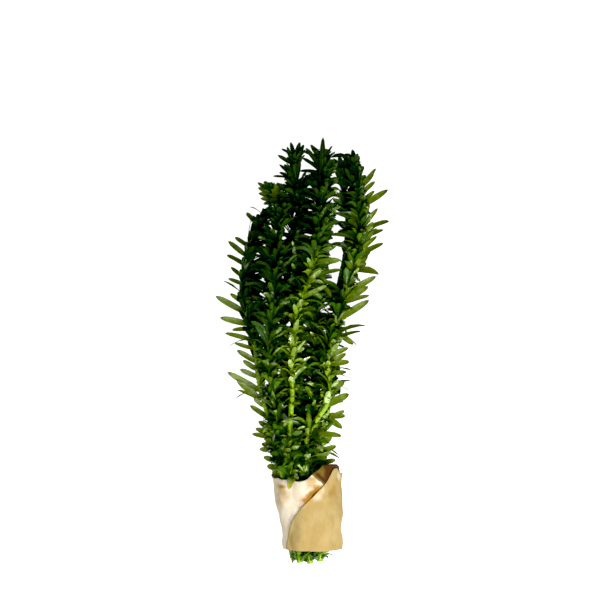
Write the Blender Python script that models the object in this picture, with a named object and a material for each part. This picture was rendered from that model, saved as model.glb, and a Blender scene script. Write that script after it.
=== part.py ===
"""A cut bunch of Brazilian waterweed with its foot wrapped in a sheet of kraft paper.

The bunch lies on a surface at z = 0, its shoots along Y with their tips towards +Y.
Each shoot is a stem and one sleeve that reaches the tips of its leaves.
"""
import math

import bmesh
import bpy
import numpy as np

MM = 0.001

# Driving dimensions
STEM_RADIUS_FOOT = 1.75 * MM
STEM_RADIUS_TIP = 1.2 * MM
STEM_STOPS_BELOW_TIP = 9 * MM
LEAVES_START_Y = -136 * MM
STATION_PITCH = 14.4 * MM
SLEEVE_SIDES = 12
BORE_SIDES = 6
BORE_GAP = 0.35 * MM
SLEEVE_GAP = 0.8 * MM
THIN_WALL = 0.7 * MM

PAPER_THICKNESS = 0.4 * MM
PAPER_LAYER_GAP = 0.4 * MM
PAPER_FOOT_Y = -139 * MM
PAPER_MOUTH_Y = -88 * MM
PAPER_FOOT_CENTRE_X = 7.5 * MM
PAPER_MOUTH_CENTRE_X = 3 * MM
PAPER_FOOT_WIDTH = 39.5 * MM
PAPER_MOUTH_WIDTH = 47.5 * MM
PAPER_FOOT_HEIGHT = 35 * MM
PAPER_MOUTH_HEIGHT = 42 * MM
PAPER_FLATTENED = 2.5 * MM
PAPER_COLUMNS = 38
PAPER_ROWS = 7
SLEEVE_TO_PAPER = 0.9 * MM
PAPER_TOP_Y = -77 * MM

# The rim of the sheet, as the angle round the roll in degrees and the place of the edge along Y in mm.
# The angle starts at the right, passes the front at 90 and the surface below at 270.
PAPER_RIM = [
    (15, -80.5), (35, -78.4), (50, -78.2), (62, -79.4), (70, -82.0), (80, -85.2), (90, -88.4), (100, -89.8),
    (120, -89.3), (150, -88.8), (180, -88.0), (215, -85.5), (270, -85.0), (320, -84.0), (350, -86.5),
    (375, -85.0), (392, -81.2), (402, -82.0),
]
# The free edge of the outer layer, as the place along Y in mm and its angle round the roll in degrees.
PAPER_FREE_EDGE = [(-139, 512), (-115, 479), (-104, 451), (-95, 427), (-88, 412), (-82, 402)]
PAPER_INNER_EDGE_ANGLE = 15
PAPER_LAYERS_PART_AT = 295
PAPER_LAYERS_APART_AT = 368

# Each shoot from its cut end to its tip, in mm: place along Y, across X, above the surface, reach of its leaves.
SHOOTS = {
    "left": [
        (-146, -6.4, 17, 11), (-110, -9, 18, 12), (-90, -14.7, 20, 11), (-56, -20.3, 22, 15),
        (-31.5, -28, 22, 16), (-16, -31, 21, 18), (0, -32.5, 20, 17), (35, -40.5, 17, 19.3),
        (70, -38.5, 14, 15), (92, -29.7, 12, 11), (105, -24, 12, 5),
    ],
    "front_left": [
        (-148, -1.4, 25, 11), (-110, -5, 27, 12), (-90, -12.6, 29, 11), (-56, -15, 31, 14),
        (-31.5, -19.5, 32, 15), (0, -23.1, 32, 15), (35, -18.9, 30, 15), (70, -17.5, 27, 14),
        (90, -15, 25, 10), (103, -13.5, 24, 5),
    ],
    "bent": [
        (-144, 0.6, 9, 11), (-110, -2, 10, 12), (-90, -7, 11, 12), (-56, -9.8, 12, 15),
        (-31.5, -11.2, 12, 15), (0, -11.9, 12, 15), (35, -12.6, 11, 15), (70, -9.8, 10, 14),
        (93, -7.5, 10, 12), (103, -12, 10, 12), (111, -19.5, 11, 12), (119, -26, 12, 7),
    ],
    "upper_left": [
        (-147, 6.6, 15, 11), (-110, 4, 17, 12), (-90, 0.7, 17, 12), (-56, -0.7, 18, 15),
        (-31.5, -1.4, 19, 15), (0, -2.8, 18, 15), (35, -3.5, 17, 15), (70, -4.2, 16, 15),
        (101, -2.5, 18, 12), (126, -4.8, 14, 9), (147, -4, 11, 5),
    ],
    "centre": [
        (-148.8, 5.6, 23, 11), (-110, 2, 28, 12), (-90, -6.5, 32, 11), (-56, -8.4, 36, 14),
        (-31.5, -7, 37, 14), (0, -6.3, 36, 15), (33, -1.5, 33, 15), (50, 5.5, 32, 15),
        (70, 10, 30, 15), (101, 12.6, 25, 14), (126, 14.7, 19, 10), (149, 14.3, 13, 4),
    ],
    "back_centre": [
        (-145, 14.6, 18, 11), (-110, 13, 19, 12), (-90, 9.5, 20, 12), (-56, 8.4, 20, 15),
        (-31.5, 8.4, 21, 15), (0, 9.1, 20, 15), (35, 10.5, 17, 15), (70, 14.7, 14, 14),
        (90, 17, 12, 10), (102, 18.2, 12, 5),
    ],
    "right": [
        (-147, 12.6, 26, 11), (-110, 10, 28, 12), (-90, 4.5, 30, 12), (-54, 6, 33, 15),
        (-36.5, 17.5, 35, 15), (0, 18.2, 33, 16), (17, 23.5, 31, 17), (35, 29, 29, 18),
        (60, 36.5, 26, 17), (83, 40, 23, 18.7), (103, 40.2, 21, 19), (120, 38.5, 17, 12), (141, 35.7, 12, 5),
    ],
    "back_right": [
        (-148, 13.6, 9, 11), (-110, 13, 10, 12), (-90, 12, 11, 12), (-56, 15.5, 12, 15),
        (-31.5, 20.3, 13, 15), (0, 23, 13, 16), (35, 24, 12, 16), (70, 30.5, 12, 15),
        (101, 31.5, 12, 13), (120, 29.5, 11, 10), (135, 28.7, 10, 5),
    ],
}

# Colours as red, green, blue
STEM_GREEN = (0.30, 0.45, 0.05)
LEAF_GREEN = (0.04, 0.13, 0.01)
KRAFT_BROWN = (0.68, 0.47, 0.25)


def clear_scene():
    """Remove whatever the file opens with."""
    for thing in list(bpy.data.objects):
        bpy.data.objects.remove(thing, do_unlink=True)


def material(name, colour, roughness):
    """A plain non-metal finish."""
    made = bpy.data.materials.new(name)
    made.use_nodes = True
    shader = made.node_tree.nodes["Principled BSDF"]
    shader.inputs["Base Color"].default_value = (*colour, 1.0)
    shader.inputs["Roughness"].default_value = roughness
    shader.inputs["Metallic"].default_value = 0.0
    return made


def smooth_through(places, values, at):
    """A smooth curve through values, read at one or more places: cubic pieces with averaged slopes."""
    places = np.asarray(places, float)
    values = np.asarray(values, float)
    at = np.clip(np.atleast_1d(np.asarray(at, float)), places[0], places[-1])
    slopes = np.gradient(values, places)
    piece = np.clip(np.searchsorted(places, at, side="right") - 1, 0, len(places) - 2)
    width = places[piece + 1] - places[piece]
    t = (at - places[piece]) / width
    rise = values[piece] * (2 * t**3 - 3 * t**2 + 1) + values[piece + 1] * (3 * t**2 - 2 * t**3)
    lean = slopes[piece] * (t**3 - 2 * t**2 + t) + slopes[piece + 1] * (t**3 - t**2)
    return rise + lean * width


def shoot_at(name, y):
    """Where a shoot's stem passes at y, and how far its leaves reach: x, z, reach in metres."""
    rows = np.array(SHOOTS[name], float) * MM
    x, z, reach = (smooth_through(rows[:, 0], rows[:, k], y)[0] for k in (1, 2, 3))
    return x, z, reach


def shoot_ends(name):
    """The cut end and the tip of a shoot along Y."""
    return SHOOTS[name][0][0] * MM, SHOOTS[name][-1][0] * MM


def paper_oval(y):
    """The roll's section at y: centre x, centre z, half width, half height, before its underside is flattened."""
    t = (y - PAPER_FOOT_Y) / (PAPER_MOUTH_Y - PAPER_FOOT_Y)
    centre_x = PAPER_FOOT_CENTRE_X + t * (PAPER_MOUTH_CENTRE_X - PAPER_FOOT_CENTRE_X)
    half_width = (PAPER_FOOT_WIDTH + t * (PAPER_MOUTH_WIDTH - PAPER_FOOT_WIDTH)) / 2
    half_height = (PAPER_FOOT_HEIGHT + t * (PAPER_MOUTH_HEIGHT - PAPER_FOOT_HEIGHT) + PAPER_FLATTENED) / 2
    return centre_x, half_height - PAPER_FLATTENED, half_width, half_height


def stations(name):
    """Places along Y where a shoot's sleeve has a ring. All shoots share them, apart from the tips."""
    tip = shoot_ends(name)[1]
    found = []
    y = LEAVES_START_Y
    while y < tip - 0.4 * STATION_PITCH:
        found.append(y)
        y += STATION_PITCH
    return found + [tip]


def ray_reach(name, y, direction):
    """How far the sleeve goes from its stem in one direction across Y, kept clear of all round it."""
    x, z, reach = shoot_at(name, y)
    dx, dz = direction
    far = reach
    if dz < 0:
        far = min(far, z / -dz)
    for other in SHOOTS:
        foot, tip = shoot_ends(other)
        if other == name or not foot <= y <= tip + STATION_PITCH / 2:
            continue
        ox, oz, other_reach = shoot_at(other, y)
        apart = math.hypot(ox - x, oz - z)
        toward = (dx * (ox - x) + dz * (oz - z)) / apart
        border = (apart**2 + reach**2 - other_reach**2) / (2 * apart)
        least = STEM_RADIUS_FOOT + BORE_GAP + THIN_WALL
        border = min(max(border, least), apart - least) - SLEEVE_GAP
        if toward > 0:
            far = min(far, border / toward)
    if y < PAPER_TOP_Y:
        far = min(far, ray_to_paper(x, z, y, direction))
    return far


def ray_to_paper(x, z, y, direction):
    """Distance from a point inside the roll to its wall, less the room left there."""
    centre_x, centre_z, half_width, half_height = paper_oval(y)
    half_width -= SLEEVE_TO_PAPER
    half_height -= SLEEVE_TO_PAPER
    near, far = 0.0, 0.1
    for _ in range(30):
        middle = (near + far) / 2
        px = (x + direction[0] * middle - centre_x) / half_width
        pz = (z + direction[1] * middle - centre_z) / half_height
        inside = px * px + pz * pz < 1 and z + direction[1] * middle > SLEEVE_TO_PAPER
        if inside:
            near = middle
        else:
            far = middle
    return near


def ring(bm, centre, radii, y):
    """One closed ring of points across Y, a radius for each direction."""
    made = []
    for k, radius in enumerate(radii):
        angle = 2 * math.pi * k / len(radii)
        made.append(bm.verts.new((centre[0] + radius * math.cos(angle), y, centre[1] + radius * math.sin(angle))))
    return made


def skin(bm, rings):
    """Faces between each ring and the next."""
    for lower, upper in zip(rings, rings[1:]):
        count = len(lower)
        for k in range(count):
            after = (k + 1) % count
            bm.faces.new((lower[k], upper[k], upper[after], lower[after]))


def foot_face(bm, outer, inner):
    """The flat foot of a sleeve, round the mouth of its bore."""
    step = len(outer) // len(inner)
    for k, point in enumerate(inner):
        after = inner[(k + 1) % len(inner)]
        edge = [outer[(k * step + j) % len(outer)] for j in range(step + 1)]
        bm.faces.new([point] + edge + [after])


def finish_object(name, bm, surface):
    """Put a closed mesh in the scene as one named object."""
    bmesh.ops.recalc_face_normals(bm, faces=bm.faces)
    bmesh.ops.triangulate(bm, faces=bm.faces)
    mesh = bpy.data.meshes.new(name)
    bm.to_mesh(mesh)
    bm.free()
    mesh.materials.append(surface)
    thing = bpy.data.objects.new(name, mesh)
    bpy.context.collection.objects.link(thing)
    return thing


def stem_line(name):
    """The middle line of a stem: its cut end, a point at each ring of its leaves, and its top."""
    foot, tip = shoot_ends(name)
    top = tip - STEM_STOPS_BELOW_TIP
    places = [foot] + [y for y in stations(name) if y < top - 2 * MM] + [top]
    return [(shoot_at(name, y)[0], y, shoot_at(name, y)[1]) for y in places]


def make_stem(name, surface):
    """A round stem that thins towards its tip."""
    line = stem_line(name)
    curve = bpy.data.curves.new(f"stem_{name}", "CURVE")
    curve.dimensions = "3D"
    curve.bevel_depth = 1.0
    curve.bevel_resolution = 2
    curve.use_fill_caps = True
    spline = curve.splines.new("POLY")
    spline.points.add(len(line) - 1)
    for k, point in enumerate(line):
        share = k / (len(line) - 1)
        spline.points[k].co = (*point, 1.0)
        spline.points[k].radius = STEM_RADIUS_FOOT + share * (STEM_RADIUS_TIP - STEM_RADIUS_FOOT)
    curve.materials.append(surface)
    thing = bpy.data.objects.new(f"stem_{name}", curve)
    bpy.context.collection.objects.link(thing)


def bore_radii(slopes):
    """A ring of the bore: wider where the stem leans, because the ring lies straight across Y."""
    across = (STEM_RADIUS_FOOT + BORE_GAP) / math.cos(math.pi / BORE_SIDES)
    lean = math.hypot(*slopes)
    radii = []
    for k in range(BORE_SIDES):
        angle = 2 * math.pi * k / BORE_SIDES
        along = 0.0 if lean == 0 else abs(math.cos(angle) * slopes[0] + math.sin(angle) * slopes[1]) / lean
        radii.append(across * (1 + along * (math.hypot(1, lean) - 1)))
    return radii


def slope_at(line, k):
    """The steepest lean of the stem on either side of point k, as dx and dz for each unit of Y."""
    best = (0.0, 0.0)
    for a, b in ((k - 1, k), (k, k + 1)):
        if a < 0 or b >= len(line):
            continue
        rise = line[b][1] - line[a][1]
        slope = ((line[b][0] - line[a][0]) / rise, (line[b][2] - line[a][2]) / rise)
        if math.hypot(*slope) > math.hypot(*best):
            best = slope
    return best


def make_leaves(name, surface):
    """The sleeve of one shoot's leaves, with a blind bore that its stem stands in."""
    bm = bmesh.new()
    outer = []
    for y in stations(name):
        x, z, _ = shoot_at(name, y)
        angles = [2 * math.pi * k / SLEEVE_SIDES for k in range(SLEEVE_SIDES)]
        radii = [ray_reach(name, y, (math.cos(a), math.sin(a))) for a in angles]
        outer.append(ring(bm, (x, z), radii, y))
    skin(bm, outer)
    bm.faces.new(outer[-1])
    line = [point for point in stem_line(name) if point[1] >= LEAVES_START_Y]
    inner = []
    for k, (x, y, z) in enumerate(line):
        slope = slope_at(line, k)
        last = k == len(line) - 1
        past_stem = BORE_GAP + STEM_RADIUS_TIP * math.hypot(*slope) if last else 0.0
        inner.append(ring(bm, (x, z), bore_radii(slope), y + past_stem))
    skin(bm, inner)
    bm.faces.new(inner[-1])
    foot_face(bm, outer[0], inner[0])
    finish_object(f"leaves_{name}", bm, surface)


def paper_point(angle, y):
    """A point of the sheet, by its angle round the roll in degrees and its place along Y."""
    centre_x, centre_z, half_width, half_height = paper_oval(y)
    opened = (angle - PAPER_LAYERS_PART_AT) / (PAPER_LAYERS_APART_AT - PAPER_LAYERS_PART_AT)
    opened = min(max(opened, 0.0), 1.0)
    proud = (PAPER_THICKNESS + PAPER_LAYER_GAP) * opened * opened * (3 - 2 * opened)
    turn = math.radians(angle)
    x = centre_x + (half_width + proud) * math.cos(turn)
    z = centre_z + (half_height + proud) * math.sin(turn)
    return x, y, max(z, PAPER_THICKNESS / 2)


def make_paper(surface):
    """The sheet, rolled once round the foot and on over its own front."""
    rim_angles, rim_places = zip(*PAPER_RIM)
    edge_places, edge_angles = zip(*PAPER_FREE_EDGE)
    bm = bmesh.new()
    rows = []
    for j in range(PAPER_ROWS + 1):
        up = j / PAPER_ROWS
        row = []
        for i in range(PAPER_COLUMNS + 1):
            share = i / PAPER_COLUMNS
            level = PAPER_FOOT_Y + up * (PAPER_RIM[-1][1] * MM - PAPER_FOOT_Y)
            last_angle = smooth_through(edge_places, edge_angles, level / MM)[0]
            angle = PAPER_INNER_EDGE_ANGLE + share * (last_angle - PAPER_INNER_EDGE_ANGLE)
            rim = smooth_through(rim_angles, rim_places, angle)[0] * MM
            y = PAPER_FOOT_Y + up * (rim - PAPER_FOOT_Y)
            row.append(bm.verts.new(paper_point(angle, y)))
        rows.append(row)
    for lower, upper in zip(rows, rows[1:]):
        for i in range(PAPER_COLUMNS):
            bm.faces.new((lower[i], lower[i + 1], upper[i + 1], upper[i]))
    sheet = finish_object("paper_wrap", bm, surface)
    wall = sheet.modifiers.new("thickness", "SOLIDIFY")
    wall.thickness = PAPER_THICKNESS
    wall.offset = 0.0


def main():
    clear_scene()
    stem_surface = material("stem", STEM_GREEN, 0.35)
    leaf_surface = material("leaves", LEAF_GREEN, 0.3)
    for name in SHOOTS:
        make_stem(name, stem_surface)
        make_leaves(name, leaf_surface)
    make_paper(material("paper", KRAFT_BROWN, 0.8))


if __name__ == "__main__":
    main()
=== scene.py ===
import math
from typing import NamedTuple

import bmesh
import bpy
import numpy as np
from bpy.props import FloatProperty, FloatVectorProperty, IntProperty, PointerProperty
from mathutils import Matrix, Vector, noise


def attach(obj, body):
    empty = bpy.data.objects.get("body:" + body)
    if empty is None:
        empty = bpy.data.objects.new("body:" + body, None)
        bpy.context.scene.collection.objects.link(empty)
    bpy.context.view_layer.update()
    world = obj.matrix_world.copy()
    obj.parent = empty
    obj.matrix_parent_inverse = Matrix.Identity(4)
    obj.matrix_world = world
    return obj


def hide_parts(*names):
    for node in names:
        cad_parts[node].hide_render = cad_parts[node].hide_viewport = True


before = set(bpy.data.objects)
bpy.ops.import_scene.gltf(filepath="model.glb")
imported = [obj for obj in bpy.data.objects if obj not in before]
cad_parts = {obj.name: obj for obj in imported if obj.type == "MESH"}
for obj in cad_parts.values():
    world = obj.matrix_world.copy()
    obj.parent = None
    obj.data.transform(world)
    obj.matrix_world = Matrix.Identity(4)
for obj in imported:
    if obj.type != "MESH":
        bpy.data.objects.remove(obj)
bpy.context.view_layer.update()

bl_info = {
    "name": "Waterweed Bunch",
    "version": (1, 0, 0),
    "blender": (4, 5, 0),
    "location": "3D View > Sidebar > Waterweed",
    "description": "Makes a paper-wrapped bunch of waterweed shoots, with their stems and whorls of leaves",
    "category": "Add Mesh",
}

MM = 0.001

# Each shoot from its cut end to its tip, in mm: place along Y, across X, above the surface.
SHOOT_LINES = {
    "left": [
        (-146, -6.4, 17), (-110, -9, 18), (-90, -14.7, 20), (-56, -20.3, 22), (-31.5, -28, 22),
        (-16, -31, 21), (0, -32.5, 20), (35, -40.5, 17), (70, -38.5, 14), (92, -29.7, 12), (105, -24, 12),
    ],
    "front_left": [
        (-148, -1.4, 25), (-110, -5, 27), (-90, -12.6, 29), (-56, -15, 31), (-31.5, -19.5, 32),
        (0, -23.1, 32), (35, -18.9, 30), (70, -17.5, 27), (90, -15, 25), (103, -13.5, 24),
    ],
    "bent": [
        (-144, 0.6, 9), (-110, -2, 10), (-90, -7, 11), (-56, -9.8, 12), (-31.5, -11.2, 12),
        (0, -11.9, 12), (35, -12.6, 11), (70, -9.8, 10), (93, -7.5, 10), (103, -12, 10),
        (111, -19.5, 11), (119, -26, 12),
    ],
    "upper_left": [
        (-147, 6.6, 15), (-110, 4, 17), (-90, 0.7, 17), (-56, -0.7, 18), (-31.5, -1.4, 19),
        (0, -2.8, 18), (35, -3.5, 17), (70, -4.2, 16), (101, -2.5, 18), (126, -4.8, 14), (147, -4, 11),
    ],
    "centre": [
        (-148.8, 5.6, 23), (-110, 2, 28), (-90, -6.5, 32), (-56, -8.4, 36), (-31.5, -7, 37),
        (0, -6.3, 36), (33, -1.5, 33), (50, 5.5, 32), (70, 10, 30), (101, 12.6, 25), (126, 14.7, 19),
        (149, 14.3, 13),
    ],
    "back_centre": [
        (-145, 14.6, 18), (-110, 13, 19), (-90, 9.5, 20), (-56, 8.4, 20), (-31.5, 8.4, 21),
        (0, 9.1, 20), (35, 10.5, 17), (70, 14.7, 14), (90, 17, 12), (102, 18.2, 12),
    ],
    "right": [
        (-147, 12.6, 26), (-110, 10, 28), (-90, 4.5, 30), (-54, 6, 33), (-36.5, 17.5, 35),
        (0, 18.2, 33), (17, 23.5, 31), (35, 29, 29), (60, 36.5, 26), (83, 40, 23), (103, 40.2, 21),
        (120, 38.5, 17), (141, 35.7, 12),
    ],
    "back_right": [
        (-148, 13.6, 9), (-110, 13, 10), (-90, 12, 11), (-56, 15.5, 12), (-31.5, 20.3, 13),
        (0, 23, 13), (35, 24, 12), (70, 30.5, 12), (101, 31.5, 12), (120, 29.5, 11), (135, 28.7, 10),
    ],
}


class Habit(NamedTuple):
    """How a shoot grows: its number of whorls and how long its leaves are against a full-grown one. The
    top of its whorls, its bare stretch, and the stretch where its front leaves are small and fresh, with
    less painted shade, are places along Y in mm. Only a share of those small leaves is kept. Gloom is how
    deep the painted shade of its single leaves is."""

    whorls: int
    scale: float
    top: float
    bare: tuple = (0, 0)
    sparse: tuple = (0, 0)
    kept: float = 1.0
    gloom: float = 1.0


SHOOT_HABITS = {
    "left": Habit(122, 1.14, 100, sparse=(-40, 2), kept=0.45),
    "front_left": Habit(124, 1.14, 103),
    "bent": Habit(112, 1.0, 118, gloom=0.1),
    "upper_left": Habit(124, 0.92, 141),
    "centre": Habit(122, 0.98, 141, bare=(-55, -27), sparse=(-70, 62), kept=0.85),
    "back_centre": Habit(112, 1.05, 104),
    "right": Habit(124, 1.0, 138, bare=(-52, -37), sparse=(-40, -10), kept=0.8),
    "back_right": Habit(118, 1.0, 135),
}

# The photograph's frame: the length of a pixel on the bunch, and the pixel over the origin.
PIXEL = 0.7 * MM
PIXEL_ACROSS_OVER_ORIGIN = 302
PIXEL_DOWN_OVER_ORIGIN = 350


class SeenLeaf(NamedTuple):
    """A leaf that stands out singly, read off the photograph: places and width in pixels, the turn of its
    face and its bend in degrees, how much higher its tip is than its root in mm, and how strong the painted
    pale highlight on the seen part of it is."""

    base_across: float
    base_down: float
    tip_across: float
    tip_down: float
    width: float
    turn: float
    bend: float
    rise: float
    shine: float = 0.0


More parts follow.
